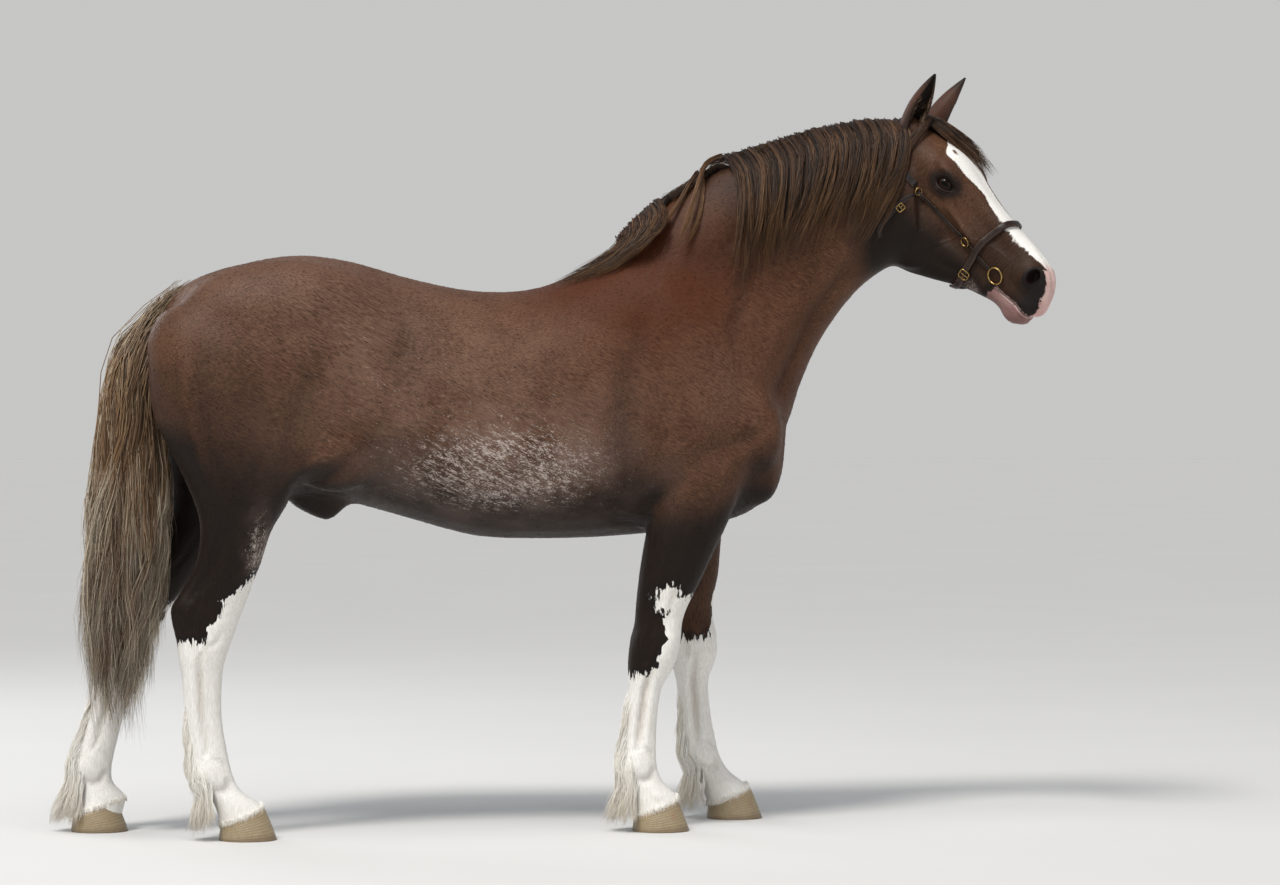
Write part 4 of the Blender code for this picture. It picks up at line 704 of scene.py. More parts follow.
def opened(mesh):
    """Raises the lids over the eyes and opens them, and hollows the nostrils."""
    points = read_points(mesh)
    for side in (-1, 1):
        centre = np.array(sided(EYE_PLACE, side))
        outward, lengthways, across = (np.array(axis) for axis in eye_axes(side))
        way = points - centre
        apart = np.linalg.norm(way, axis=1)
        raised = (apart < EYE_RADIUS + LID_THICKNESS) & (way @ outward > -0.012)
        points[raised] = centre + way[raised] / apart[raised, None] * (EYE_RADIUS + LID_THICKNESS)
        way = points - centre
        u = way @ lengthways / (LID_HALF_LENGTH * 1.10)
        v = way @ across / (LID_HALF_HEIGHT * 1.14)
        almond = np.clip(1 - u * u, 0, 1) ** 0.625
        inside = (np.abs(u) < 1) & (np.abs(v) < almond) & (way @ outward > 0)
        apart = np.linalg.norm(way, axis=1)
        points[inside] = centre + way[inside] / apart[inside, None] * (EYE_RADIUS - 0.0035)
    place_points(mesh, points)
    ways = read_points(mesh, "normal")
    for side in (-1, 1):
        centre = np.array(sided(NOSTRIL_PLACE, side))
        lean = Matrix.Rotation(NOSTRIL_LEAN, 3, LEFT_OF_FACE)
        frame_in = np.array(lean @ HEAD_AXES) / np.array(NOSTRIL_RADII)
        place = (points - centre) @ frame_in
        apart = np.linalg.norm(place, axis=1)
        rim = np.exp(-((apart - 1.16) / 0.20) ** 2) * (apart < 1.9)
        points += ways * (rim * 0.0030)[:, None]
        nostril_way = np.array(LEFT_OF_FACE * -side * 0.9 - ALONG_FACE * 0.3)
        inward = nostril_way @ frame_in
        inside = apart < 1.0
        a = inward @ inward
        b = place[inside] @ inward
        c = apart[inside] ** 2 - 1
        reach = (-b + np.sqrt(np.maximum(b * b - a * c, 0))) / a
        points[inside] += nostril_way * reach[:, None]
    place_points(mesh, points)
    smoothed(mesh, past_the_throat(points) - 0.02, 1)
    points = read_points(mesh) - read_points(mesh, "normal") * COAT_DEPTH

    # The muzzle's tip is drawn in smoothly, so that it stays inside the measured length
    ease_in = 0.007
    beyond = np.maximum(points[:, 0] - (cad_box[1][0] - STANCE.x - ease_in - 0.001), 0)
    points[:, 0] += ease_in * (1 - np.exp(-beyond / ease_in)) - beyond
    place_points(mesh, points)


# How deep each corner was cut is kept, to paint shade into the grooves
hollow_shade_depths = worked(hide.data)
opened(hide.data)
hide_points = read_points(hide.data)
hide_ways = read_points(hide.data, "normal")

# The markings: a blaze that widens under the forelock and runs out on the nose, four ragged
# stockings, white ticking on ribs and flank, and pink skin round nostrils and lips
BLAZE_NEAR = [
    (0.085, -0.012), (0.110, -0.045), (0.143, -0.064), (0.194, -0.060), (0.235, -0.041), (0.265, -0.032),
    (0.313, -0.038), (0.417, -0.037), (0.466, -0.030), (0.498, -0.026), (0.530, -0.014),
]
BLAZE_FAR = [
    (0.085, 0.006), (0.110, 0.020), (0.147, 0.030), (0.190, 0.030), (0.230, 0.023), (0.270, 0.018),
    (0.320, 0.018), (0.360, 0.022), (0.400, 0.032), (0.520, 0.040),
]
HIND_RIGHT_WHITE = [
    (-0.976, 0.500), (-0.915, 0.502), (-0.902, 0.524), (-0.888, 0.557), (-0.860, 0.599),
    (-0.837, 0.626), (-0.809, 0.651), (-0.780, 0.680),
]
HIND_LEFT_WHITE = [(-1.100, 0.470), (-1.014, 0.491), (-0.965, 0.581)]
FORE_RIGHT_WHITE = [
    (0.190, 0.400), (0.232, 0.407), (0.258, 0.444), (0.271, 0.500), (0.275, 0.580), (0.300, 0.605),
]
FORE_LEFT_WHITE = [(0.370, 0.476), (0.437, 0.483), (0.460, 0.492), (0.470, 0.600), (0.520, 0.620)]

WHITE_LINES = ((-1, FORE_RIGHT_WHITE, HIND_RIGHT_WHITE), (1, FORE_LEFT_WHITE, HIND_LEFT_WHITE))


def read_line(table, place):
    return np.interp(place, [row[0] for row in table], [row[1] for row in table])


def spot(points, centre, radii):
    """1 at a centre, fading over the radii."""
    apart = ((points - np.array(centre)) / np.array(radii)) ** 2
    return np.exp(-apart.sum(axis=1))


# Patches of the coat that are ticked with white and redder, and patches of painted shade and
# painted sheen: strength, middle and reach. A reach of 9 m across takes in both sides alike
TICKED = [
    (0.55, (-0.12, 0, 0.95), (0.34, 9, 0.16)), (0.22, (-0.52, 0, 1.15), (0.26, 9, 0.22)),
    (0.12, (-0.2, 0, 1.2), (0.6, 9, 0.3)), (1.7, (-0.775, 0, 0.735), (0.035, 9, 0.080)),
]
# Painted shade: behind the thighs, under the throat, under the mane and along the neck before the shoulder
PAINTED_SHADE_PATCHES = [
    (0.60, (-0.86, 0, 1.02), (0.16, 9, 0.24)), (0.30, (0.92, 0, 1.55), (0.10, 9, 0.18)),
    (0.60, (0.47, 0, 1.67), (0.13, 9, 0.08)), (0.30, (0.44, 0, 1.50), (0.12, 9, 0.08)),
]
GLOWING = [
    (1.4, (0.14, 0, 1.43), (0.24, 9, 0.12)), (0.7, (0.35, 0, 1.42), (0.22, 9, 0.20)),
    (0.7, (-0.45, 0, 1.44), (0.30, 9, 0.06)), (0.35, (0.60, 0, 1.15), (0.16, 9, 0.20)),
    (0.30, (0.2, 0, 1.10), (0.30, 9, 0.30)),
]
# Painted sheen: the coat is lightened to a pale grey on croup, flank, ribs and shoulder, where light falls
PAINTED_SHEEN = [
    (1.0, (-0.66, 0, 1.40), (0.30, 9, 0.14)), (0.6, (-0.40, 0, 1.20), (0.26, 9, 0.24)),
    (0.5, (0.45, 0, 1.15), (0.14, 9, 0.22)), (0.4, (0.02, 0, 1.05), (0.25, 9, 0.22)),
]


def patches(points, table):
    return sum(strength * spot(points, middle, reach) for strength, middle, reach in table)


def markings(points, ways):
    """Where the coat is white, ticked, dark, orange, pink and bare, and its painted shade and sheen, for an
    array of places.
    """
    x, y, z = points.T
    head = head_places(points)
    along, out, beside = head.T
    past = past_the_throat(points)
    on_head_share = eased((past + 0.04) / 0.08)
    white = np.full(len(points), -0.2)
    legs = z < 0.9
    for side, front, hind in WHITE_LINES:
        own = legs & (y * side > 0)
        wavy = x + 0.007 * np.sin(z * 85 + 1.3 + side) + 0.004 * np.sin(z * 190 + side)
        line = np.where(x > -0.2, read_line(front, wavy), read_line(hind, wavy))
        white = np.where(own, line - z, white)
    tongue = 0.034 - np.hypot(x - 0.279, z - 0.598)
    white = np.where((y < 0) & (x > 0), np.maximum(white, tongue), white)
    blaze = np.minimum.reduce([
        beside - read_line(BLAZE_NEAR, along), read_line(BLAZE_FAR, along) - beside,
        along - 0.083, 0.560 - along, out + 0.022,
    ])
    brown_fleck = np.linalg.norm((head - np.array((0.128, 0.042, -0.034))) * (0.5, 1, 1), axis=1)
    blaze = np.minimum(blaze, brown_fleck - 0.0055)
    white = np.where(past > 0.0, blaze, white)
    mouth = read_line(MOUTH_LINE[::-1], along)
    nostrils = [head - np.array(NOSTRIL_PLACE) * (1, 1, side) for side in (-1, 1)]
    lip = np.minimum(along - 0.472, mouth + 0.0045 - out)
    muzzle = np.minimum.reduce([along - 0.524, beside + 0.030, 0.046 - beside])
    jaw = 0.012 - np.linalg.norm((head - np.array((0.432, -0.142, -0.030))) * (0.7, 1, 1), axis=1)
    pink = np.maximum(lip, muzzle)
    for nostril in nostrils:
        pink = np.minimum(pink, np.linalg.norm(nostril / (0.9, 1, 1), axis=1) - 0.029)
    pink = np.where(past > 0.0, pink, -0.2)
    ticking = spot(points, (-0.17, y.min(), 0.925), (0.22, 9, 0.085)) + patches(points, TICKED)
    ticking += 0.9 * eased((jaw + 0.020) / 0.024) * (past > 0)
    # Painted shade: the coat darkens where it faces down and where the hindquarters face back, and the
    # patches of painted shade add to it. The legs are darkened too, partly for darker hair and partly as
    # painted shade
    under = np.clip(-ways[:, 2] * 1.3 - 0.15, 0, 1)
    fore_leg = (x > 0.05) & (past < 0)
    hind_leg = x < -0.45
    dark = 1.10 * under * (z < 1.05)
    dark += 0.35 * eased((0.90 - z) / 0.14) * (1 - 0.7 * (fore_leg & (y > 0)))
    dark += (0.80 - 0.42 * eased(y / 0.04)) * eased((1.00 - z) / 0.30) * fore_leg * eased((x - 0.02) / 0.15)
    dark += 0.85 * eased((1.06 - z) / 0.34) * hind_leg * eased((-0.50 - x) / 0.16)
    dark += patches(points, PAINTED_SHADE_PATCHES) + 0.25 * (ways[:, 0] < -0.5) * (x < -0.7) * (z < 1.2)
    # On the head, the darkening towards the jaw and under the line of the mouth is painted shade
    face = 0.34 + 0.16 * eased((np.abs(beside) - 0.03) / 0.04) + 0.34 * eased((along - 0.22) / 0.22)
    face += 0.56 * eased((-out - 0.05) / 0.13) + 0.25 * eased((0.10 - along) / 0.10)
    face += 0.5 * eased((mouth - out) / 0.012) * eased((along - 0.45) / 0.02) * (np.abs(out) < 0.16)
    brows, cheeks = (
        [spot(head, (ahead, up, side * 0.06), reach) for side in (-1, 1)]
        for ahead, up, reach in ((0.12, 0.03, (0.10, 0.06, 0.05)), (0.27, -0.04, (0.07, 0.04, 0.05)))
    )
    face -= 0.44 * sum(brows) + 0.16 * np.maximum(*cheeks)
    dark = dark * (1 - on_head_share) + face * on_head_share
    bare = np.maximum(0, along - 0.50) / 0.06 * (past > 0)
    # Painted shade in the line of the mouth and inside the nostrils, kept as crease
    crease = np.exp(-((out - mouth) / 0.0026) ** 2) * eased((along - 0.462) / 0.012) * (past > 0)
    for side, nostril in zip((-1, 1), nostrils):
        outward, lengthways, across = eye_axes(side)
        way = points - np.array(sided(EYE_PLACE, side))
        eye = np.hypot(way @ np.array(lengthways) / 1.38, way @ np.array(across))
        bare += 0.95 * eased((0.043 - eye) / 0.019) * (way @ np.array(outward) > 0)
        bare += 1.2 * eased((0.040 - np.linalg.norm(nostril / (0.8, 1, 1), axis=1)) / 0.014)
        inner = np.linalg.norm(nostril / np.array(NOSTRIL_RADII), axis=1)
        crease = np.maximum(crease, eased((1.30 - inner) / 0.35) * (past > 0))
    shares = {
        "ticking": ticking, "dark": dark, "bare": bare, "crease": crease,
        "glow": patches(points, GLOWING), "painted_sheen": patches(points, PAINTED_SHEEN),
    }
    return {
        "white": np.clip(white, -0.2, 0.2), "pink": np.clip(pink, -0.2, 0.2),
        **{name: np.clip(share, 0, 1) for name, share in shares.items()},
        "leg_lie": eased((0.86 - z) / 0.16), "face_lie": on_head_share,
    }


def write_values(mesh, values):
    """Keeps arrays of numbers on the corners of a mesh for its material to read."""
    for name, numbers in values.items():
        kept = mesh.attributes.new(name, "FLOAT", "POINT")
        kept.data.foreach_set("value", np.asarray(numbers, np.float32))


hide_marks = markings(hide_points, hide_ways)
# The grooves' depths go to the material as painted shade
hide_marks["painted_hollow_shade"] = hollow_shade_depths
write_values(hide.data, hide_marks)


def linear(red, green, blue):
    """A colour as shaders take it, from its 0 to 255 values on a screen."""
    made = []
    for value in (red, green, blue):
        share = value / 255
        made.append(share / 12.92 if share <= 0.04045 else ((share + 0.055) / 1.055) ** 2.4)
    return (*made, 1.0)


def node(tree, kind, inputs=None, **settings):
    """A shader node with its settings, and its inputs set or linked."""
    made = tree.nodes.new(kind)
    for name, value in settings.items():
        setattr(made, name, value)
    for name, value in (inputs or {}).items():
        if isinstance(value, bpy.types.NodeSocket):
            tree.links.new(value, made.inputs[name])
        else:
            made.inputs[name].default_value = value
    return made


def maths(tree, operation, *values, clamp=False):
    made = node(tree, "ShaderNodeMath", dict(enumerate(values)), operation=operation, use_clamp=clamp)
    return made.outputs[0]


def times(tree, first, second, clamp=False):
    return maths(tree, "MULTIPLY", first, second, clamp=clamp)


def plus(tree, first, second, clamp=False):
    return maths(tree, "ADD", first, second, clamp=clamp)


def swung(tree, value, amount):
    """Turns a value from 0 to 1 into one that swings round 0."""
    return times(tree, maths(tree, "SUBTRACT", value, 0.5), amount)


def object_place(tree):
    return node(tree, "ShaderNodeTexCoord").outputs["Object"]


def noise(tree, where, scale, detail=2.0, roughness=0.5):
    values = {"Vector": where, "Scale": scale, "Detail": detail, "Roughness": roughness}
    return node(tree, "ShaderNodeTexNoise", values).outputs["Fac"]


def feed(tree, shader, name, value):
    tree.links.new(value, shader.inputs[name])


def bumped(tree, shader, height, strength, distance):
    bump = node(tree, "ShaderNodeBump", {"Height": height, "Strength": strength, "Distance": distance})
    feed(tree, shader, "Normal", bump.outputs[0])


def stepped(tree, value, low, high):
    """Runs from 0 to 1 as a value runs from low to high."""
    values = {"Value": value, "From Min": low, "From Max": high}
    return node(tree, "ShaderNodeMapRange", values, interpolation_type="SMOOTHSTEP").outputs["Result"]


def mixed(tree, share, first, second):
    """One colour over another by a share."""
    return node(tree, "ShaderNodeMix", {0: share, 6: first, 7: second}, data_type="RGBA").outputs[2]


def blended(tree, share, first, second):
    """One number over another by a share."""
    return node(tree, "ShaderNodeMix", {0: share, 2: first, 3: second}, data_type="FLOAT").outputs[0]


def kept_value(tree, name):
    return node(tree, "ShaderNodeAttribute", attribute_name=name, attribute_type="GEOMETRY").outputs["Fac"]


def new_group(name, inputs, outputs):
    """An empty node group with named number inputs and outputs."""
    made = bpy.data.node_groups.new(name, "ShaderNodeTree")
    for word, start in inputs:
        socket = made.interface.new_socket(word, in_out="INPUT", socket_type="NodeSocketFloat")
        socket.default_value = start
    for word in outputs:
        made.interface.new_socket(word, in_out="OUTPUT", socket_type="NodeSocketFloat")
    return made, made.nodes.new("NodeGroupInput"), made.nodes.new("NodeGroupOutput")


def grouped_node(tree, group, **constants):
    """A node group placed in a material, with its own values."""
    return node(tree, "ShaderNodeGroup", constants, node_tree=group).outputs


def new_material(name, **constants):
    """A material and its tree and shader, with constants set on the shader."""
    made = bpy.data.materials.new(name)
    made.use_nodes = True
    shader = made.node_tree.nodes["Principled BSDF"]
    for word, value in constants.items():
        shader.inputs[word.replace("_", " ")].default_value = value
    return made, made.node_tree, shader


# The lie of the short hair: streaks that run back along the body, down the legs and down
# the face, each from noise drawn out along that way
lie_of_hair, lie_in, lie_out = new_group("lie_of_hair", [("Pitch", 300.0), ("Stretch", 9.0)], ["Streaks"])
tree = lie_of_hair
where = object_place(tree)
streak_sets = []
for turn in ((0, math.radians(-28), 0), (0, math.radians(90), 0), tuple(HEAD_AXES.transposed().to_euler())):
    turned = node(tree, "ShaderNodeMapping", {"Vector": where, "Rotation": turn}).outputs[0]
    squeezed = node(tree, "ShaderNodeCombineXYZ", {
        "X": maths(tree, "DIVIDE", lie_in.outputs["Pitch"], lie_in.outputs["Stretch"]),
        "Y": lie_in.outputs["Pitch"], "Z": lie_in.outputs["Pitch"],
    }).outputs[0]
    drawn = node(tree, "ShaderNodeVectorMath", operation="MULTIPLY")
    tree.links.new(turned, drawn.inputs[0])
    tree.links.new(squeezed, drawn.inputs[1])
    streak_sets.append(noise(tree, drawn.outputs[0], 1.0, 3.0, 0.6))
on_legs = kept_value(tree, "leg_lie")
on_face = kept_value(tree, "face_lie")

streaks = blended(tree, on_face, blended(tree, on_legs, streak_sets[0], streak_sets[1]), streak_sets[2])
tree.links.new(streaks, lie_out.inputs["Streaks"])

coat, tree, shader = new_material(
    "short_coat", Sheen_Weight=0.03, Sheen_Roughness=0.45, Specular_IOR_Level=0.17, IOR=1.45
)
shader.inputs["Sheen Tint"].default_value = linear(255, 226, 206)
streak = grouped_node(tree, lie_of_hair, Pitch=420.0, Stretch=10.0)["Streaks"]
band = grouped_node(tree, lie_of_hair, Pitch=110.0, Stretch=4.0)["Streaks"]
where = object_place(tree)
mottle = noise(tree, where, 7.0, 4.0, 0.6)
on_face = kept_value(tree, "face_lie")
calm = maths(tree, "SUBTRACT", 1.0, times(tree, on_face, 0.84))
ragged = swung(tree, band, 0.075)
ragged = plus(tree, ragged, swung(tree, streak, 0.022))
ragged = times(tree, ragged, calm)
uneven = swung(tree, mottle, 0.5)
light = stepped(tree, plus(tree, streak, uneven), 0.28, 0.78)
brown = mixed(tree, light, linear(61, 37, 24), linear(108, 75, 54))
glowing = plus(tree, kept_value(tree, "glow"), times(tree, uneven, 0.6), clamp=True)
red = mixed(tree, streak, linear(48, 20, 7), linear(86, 42, 17))
brown = mixed(tree, times(tree, glowing, 0.95), brown, red)
# Painted sheen: pale grey laid over the brown in its patches, following the streaks
painted_sheen_share = times(tree, kept_value(tree, "painted_sheen"), stepped(tree, streak, 0.25, 0.75), clamp=True)
brown = mixed(tree, times(tree, painted_sheen_share, 0.55), brown, linear(114, 92, 79))
# Darker hair together with painted shade under the body, behind the hindquarters and thighs, under the throat
# and mane, and towards the jaw
dark_hair_and_shade = plus(tree, kept_value(tree, "dark"), times(tree, uneven, 0.35), clamp=True)
black = mixed(tree, streak, linear(10, 7, 5), linear(29, 20, 15))
brown = mixed(tree, times(tree, dark_hair_and_shade, 0.97), brown, black)
ticked = kept_value(tree, "ticking")
haze = times(tree, ticked, times(tree, stepped(tree, mottle, 0.30, 0.70), 0.42))
brown = mixed(tree, haze, brown, linear(142, 122, 113))
tiny = grouped_node(tree, lie_of_hair, Pitch=640.0, Stretch=5.0)["Streaks"]
fleck = plus(tree, tiny, swung(tree, band, 0.60))
flecked = stepped(tree, plus(tree, fleck, times(tree, ticked, 0.24)), 0.74, 0.86)
flecked = times(tree, flecked, plus(tree, 0.25, times(tree, ticked, 0.55)))
brown = mixed(tree, flecked, brown, linear(196, 184, 176))
whiteness = stepped(tree, plus(tree, kept_value(tree, "white"), ragged), -0.0025, 0.0025)
white_hair = mixed(tree, stepped(tree, streak, 0.3, 0.7), linear(216, 212, 205), linear(236, 235, 232))
soiled = times(tree, stepped(tree, mottle, 0.45, 0.75), 0.30)
white_hair = mixed(tree, soiled, white_hair, linear(212, 204, 190))
edge_skin = stepped(tree, plus(tree, kept_value(tree, "white"), ragged), -0.022, -0.002)
brown = mixed(tree, times(tree, edge_skin, kept_value(tree, "leg_lie")), brown, linear(17, 13, 12))
colour = mixed(tree, whiteness, brown, white_hair)
skin_dark = mixed(tree, mottle, linear(9, 8, 9), linear(25, 23, 23))
bareness = times(tree, kept_value(tree, "bare"), 0.88, clamp=True)
colour = mixed(tree, bareness, colour, mixed(tree, whiteness, skin_dark, linear(196, 156, 148)))
spots = noise(tree, where, 95.0, 4.0, 0.6)
wander = swung(tree, spots, 0.026)
pink_place = plus(tree, kept_value(tree, "pink"), wander)
sharp, soft = stepped(tree, pink_place, -0.0015, 0.0025), stepped(tree, pink_place, -0.034, 0.022)
pinkness = blended(tree, whiteness, sharp, soft)
pink_skin = mixed(tree, stepped(tree, mottle, 0.35, 0.65), linear(190, 150, 145), linear(220, 194, 188))
pink_skin = mixed(tree, times(tree, stepped(tree, spots, 0.60, 0.68), 0.5), pink_skin, linear(108, 72, 70))
# Painted shade: the pink skin turns darker and browner where the painted shade is deepest, as under the lip
shaded = times(tree, stepped(tree, kept_value(tree, "dark"), 0.75, 1.0), 0.85)
pink_skin = mixed(tree, shaded, pink_skin, linear(98, 66, 62))
colour = mixed(tree, pinkness, colour, pink_skin)
# Painted shade, near black, in the line of the mouth and inside the nostrils
colour = mixed(tree, times(tree, kept_value(tree, "crease"), 0.88), colour, linear(26, 15, 15))
# Painted shade in the grooves that the strokes cut, darker on brown hair and greyer on white
painted_hollow_shade = times(tree, kept_value(tree, "painted_hollow_shade"), times(tree, calm, 0.42))
colour = mixed(tree, painted_hollow_shade, colour, mixed(tree, whiteness, linear(22, 15, 12), linear(150, 138, 122)))
feed(tree, shader, "Base Color", colour)
roughness = plus(tree, 0.40, times(tree, streak, 0.22))
roughness = plus(tree, roughness, times(tree, whiteness, 0.12))
feed(tree, shader, "Roughness", roughness)
height = plus(tree, streak, times(tree, band, 0.7))
bumped(tree, shader, height, 0.55, 0.0016)
hide.data.materials.clear()
hide.data.materials.append(coat)

# The hide's own map, which the tufts and strands of the coat share by their roots
bpy.ops.object.select_all(action="DESELECT")
hide.select_set(True)
bpy.context.view_layer.objects.active = hide
bpy.ops.object.mode_set(mode="EDIT")
bpy.ops.mesh.select_all(action="SELECT")
bpy.ops.uv.smart_project(angle_limit=math.radians(66), island_margin=0.002)
bpy.ops.object.mode_set(mode="OBJECT")
hide.data.uv_layers.active.name = "OFBake"
flat = np.empty(len(hide.data.loops) * 2, np.float32)
hide.data.uv_layers.active.data.foreach_get("uv", flat)
face_starts = np.empty(len(hide.data.polygons), np.int32)
hide.data.polygons.foreach_get("loop_start", face_starts)
hide_face_uvs = flat.reshape(-1, 2)[face_starts].astype(float)

# ---------------------------------------------------------------------------
# The mane: long straight hair, dark at the root and straw-coloured towards its tips. It
# grows along the crest, falls over the right side in locks, and lies back at the withers.

hide_tree = BVHTree.FromPolygons(
    [Vector(point) for point in hide_points], [list(face.vertices) for face in hide.data.polygons]
)


def crest_point(share):
    """A point of the neck's crest, from the withers to the poll, and the neck's half width there."""
    rows = smooth_rows(NECK[1:], 1)
    place = share * (len(rows) - 1)
    values = [np.interp(place, range(len(rows)), rows[:, n]) for n in (0, 1, 2, 6)]
    return Vector(values[0:3]), values[3]


def laid_out(points, lift, rooted=1):
    """Moves the points of a lock out of the hide to a lift, past its rooted ones."""
    laid = list(points[:rooted])
    for point in points[rooted:]:
        nearest, normal, _, _ = hide_tree.find_nearest(point)
        height = (point - nearest).dot(normal)
        laid.append(nearest + normal * lift if height < lift else point)
    return laid


def curve_through(guides, count):
    """Guides of a few points each, redrawn as smooth curves of more points."""
    guides = np.asarray(guides, float)
    spans = guides.shape[1] - 1
    made = []
    for i in range(count):
        place = spans * i / (count - 1)
        k = min(int(place), spans - 1)
        made.append(curved(*(guides[:, min(max(k + n, 0), spans)] for n in (-1, 0, 1, 2)), place - k))
    return np.stack(made, axis=1)


def unit(vectors):
    return vectors / np.maximum(np.linalg.norm(vectors, axis=-1, keepdims=True), 1e-9)


def hairs_of_locks(
    guides, count, draw, spread, gather, length_range=(0.80, 1.0), wave=0.004, samples=10, bunch=1.35,
    bends=7.0
):
    """Single strands round the guides of the locks: spread at the root, gathered to the tip."""
    fine = 3 * samples
    curves = curve_through(guides, fine)
    chosen = draw.integers(0, len(curves), count)
    paths = curves[chosen].copy()
    share = np.linspace(0, 1, fine)[None, :, None]
    offset = draw.normal(size=(count, 1, 3)) * np.asarray(spread)
    loose = draw.normal(size=(count, 1, 3)) * gather
    paths += offset * (1 - share) ** 1.2 + loose * share**1.3
    phase = draw.uniform(0, 2 * math.pi, (count, 1, 3))
    rate = draw.uniform(3.0, 9.0, (count, 1, 1))
    lock_phase = (chosen * 2.39996)[:, None, None] + np.array([0.0, 2.1, 4.2])
    paths += wave * (0.6 * np.sin(share * rate + phase) + 0.9 * np.sin(share * bends + lock_phase)) * share
    kept = draw.uniform(*length_range, (count, 1))
    spots = np.linspace(0, 1, samples)[None, :] ** bunch * kept * (fine - 1)
    low = np.minimum(spots.astype(int), fine - 2)
    part = (spots - low)[:, :, None]
    rows = np.arange(count)[:, None]
    paths = paths[rows, low] * (1 - part) + paths[rows, low + 1] * part
    tone = np.clip(draw.normal(0.5, 0.17, count) + (chosen * 0.618 % 1 - 0.5) * 0.34, 0, 1)
    return paths, tone


def off_the_hide(paths, lift, rooted=1):
    """Lifts what runs inside the hide out to its surface."""
    for strand in paths:
        for i in range(rooted, len(strand)):
            place, normal, _, _ = hide_tree.find_nearest(Vector(strand[i]), 0.05)
            if place is not None and (Vector(strand[i]) - place).dot(normal) < lift:
                strand[i] = place + normal * lift
    return paths


def strands(name, paths, widths, tone, draw, material):
    """Builds strands as thin three-sided tapered prisms, in one mesh of many."""
    count, samples, _ = paths.shape
    width = draw.uniform(*widths, count) if isinstance(widths, tuple) else np.full(count, widths)
    ahead = unit(np.gradient(paths, axis=1))
    facing = unit(draw.normal(size=(count, 1, 3)))
    side = unit(np.cross(ahead, facing))
    up = np.cross(side, ahead)
    share = np.linspace(0, 1, samples)[None, :]
    wide = width.reshape(-1, 1) * (0.55 + 0.45 * np.minimum(share * 5, 1)) * (1 - share**2.4) / 2
    rings = []
    for k in range(3):
        turn = 2 * math.pi * k / 3
        rings.append(paths + (side * math.cos(turn) + up * math.sin(turn)) * wide[:, :, None])
    body = np.stack(rings, axis=2)[:, :-1].reshape(count, -1, 3)
    corners = np.concatenate([body, paths[:, -1:]], axis=1)
    per_strand = corners.shape[1]
    faces = []
    for i in range(samples - 2):
        for k in range(3):
            a, b = 3 * i + k, 3 * i + (k + 1) % 3
            faces.append((a, b, b + 3, a + 3))
    tips = [(3 * (samples - 2) + k, 3 * (samples - 2) + (k + 1) % 3, per_strand - 1) for k in range(3)]
    tips.append((2, 1, 0))
    starts = (np.arange(count) * per_strand)[:, None, None]
    quads = (np.array(faces)[None] + starts).reshape(-1, 4)
    tris = (np.array(tips)[None] + starts).reshape(-1, 3)
    along = np.concatenate([np.repeat(share[:, :-1], 3, axis=1), [[1.0]]], axis=1).repeat(count, axis=0)
    values = {"hair_along": along.ravel(), "hair_tone": np.repeat(tone, per_strand)}
    return mesh_of_many(
        name, corners.reshape(-1, 3), quads, tris, values, paths[:, 0], per_strand, material
    )


# No hair reaches closer than this to the sides of the measured box
BOX_MARGIN = 0.0006


def mesh_of_many(name, corners, quads, tris, values, roots, per_root, material):
    """One mesh from arrays, its OFBake map a small patch for each root on the hide's own map."""
    mesh = bpy.data.meshes.new(name)
    mesh.vertices.add(len(corners))
    lowest, highest = (np.array(corner) for corner in cad_box)
    placed = np.clip(corners + np.array(STANCE), lowest + BOX_MARGIN, highest - BOX_MARGIN)
    mesh.vertices.foreach_set("co", placed.astype(np.float32).ravel())
    mesh.loops.add(quads.size + tris.size)
    loops = np.concatenate([quads.ravel(), tris.ravel()]).astype(np.int32)
    mesh.loops.foreach_set("vertex_index", loops)
    mesh.polygons.add(len(quads) + len(tris))
    starts = np.concatenate([np.arange(len(quads)) * 4, quads.size + np.arange(len(tris)) * 3])
    mesh.polygons.foreach_set("loop_start", starts.astype(np.int32))
    mesh.update(calc_edges=True)
    write_values(mesh, values)
    patch = mesh.uv_layers.new(name="OFBake")
    corner_in_root = loops % per_root
    spot_on_map = root_map_places(roots)[loops // per_root]
    spot_on_map[:, 0] += (corner_in_root % 3) * 0.001
    spot_on_map[:, 1] += (corner_in_root // 3) / max(per_root / 3, 1) * 0.003
    patch.data.foreach_set("uv", spot_on_map.astype(np.float32).ravel())
    mesh.shade_smooth()
    mesh.materials.append(material)
    made = bpy.data.objects.new(name, mesh)
    bpy.context.scene.collection.objects.link(made)
    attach(made, "root")
    return made


def root_map_places(roots):
    """Where the hide's own map has the face nearest to each root."""
    spots = np.empty((len(roots), 2))
    for i, root in enumerate(roots):
        _, _, face, _ = hide_tree.find_nearest(Vector(root))
        spots[i] = hide_face_uvs[face]
    return spots


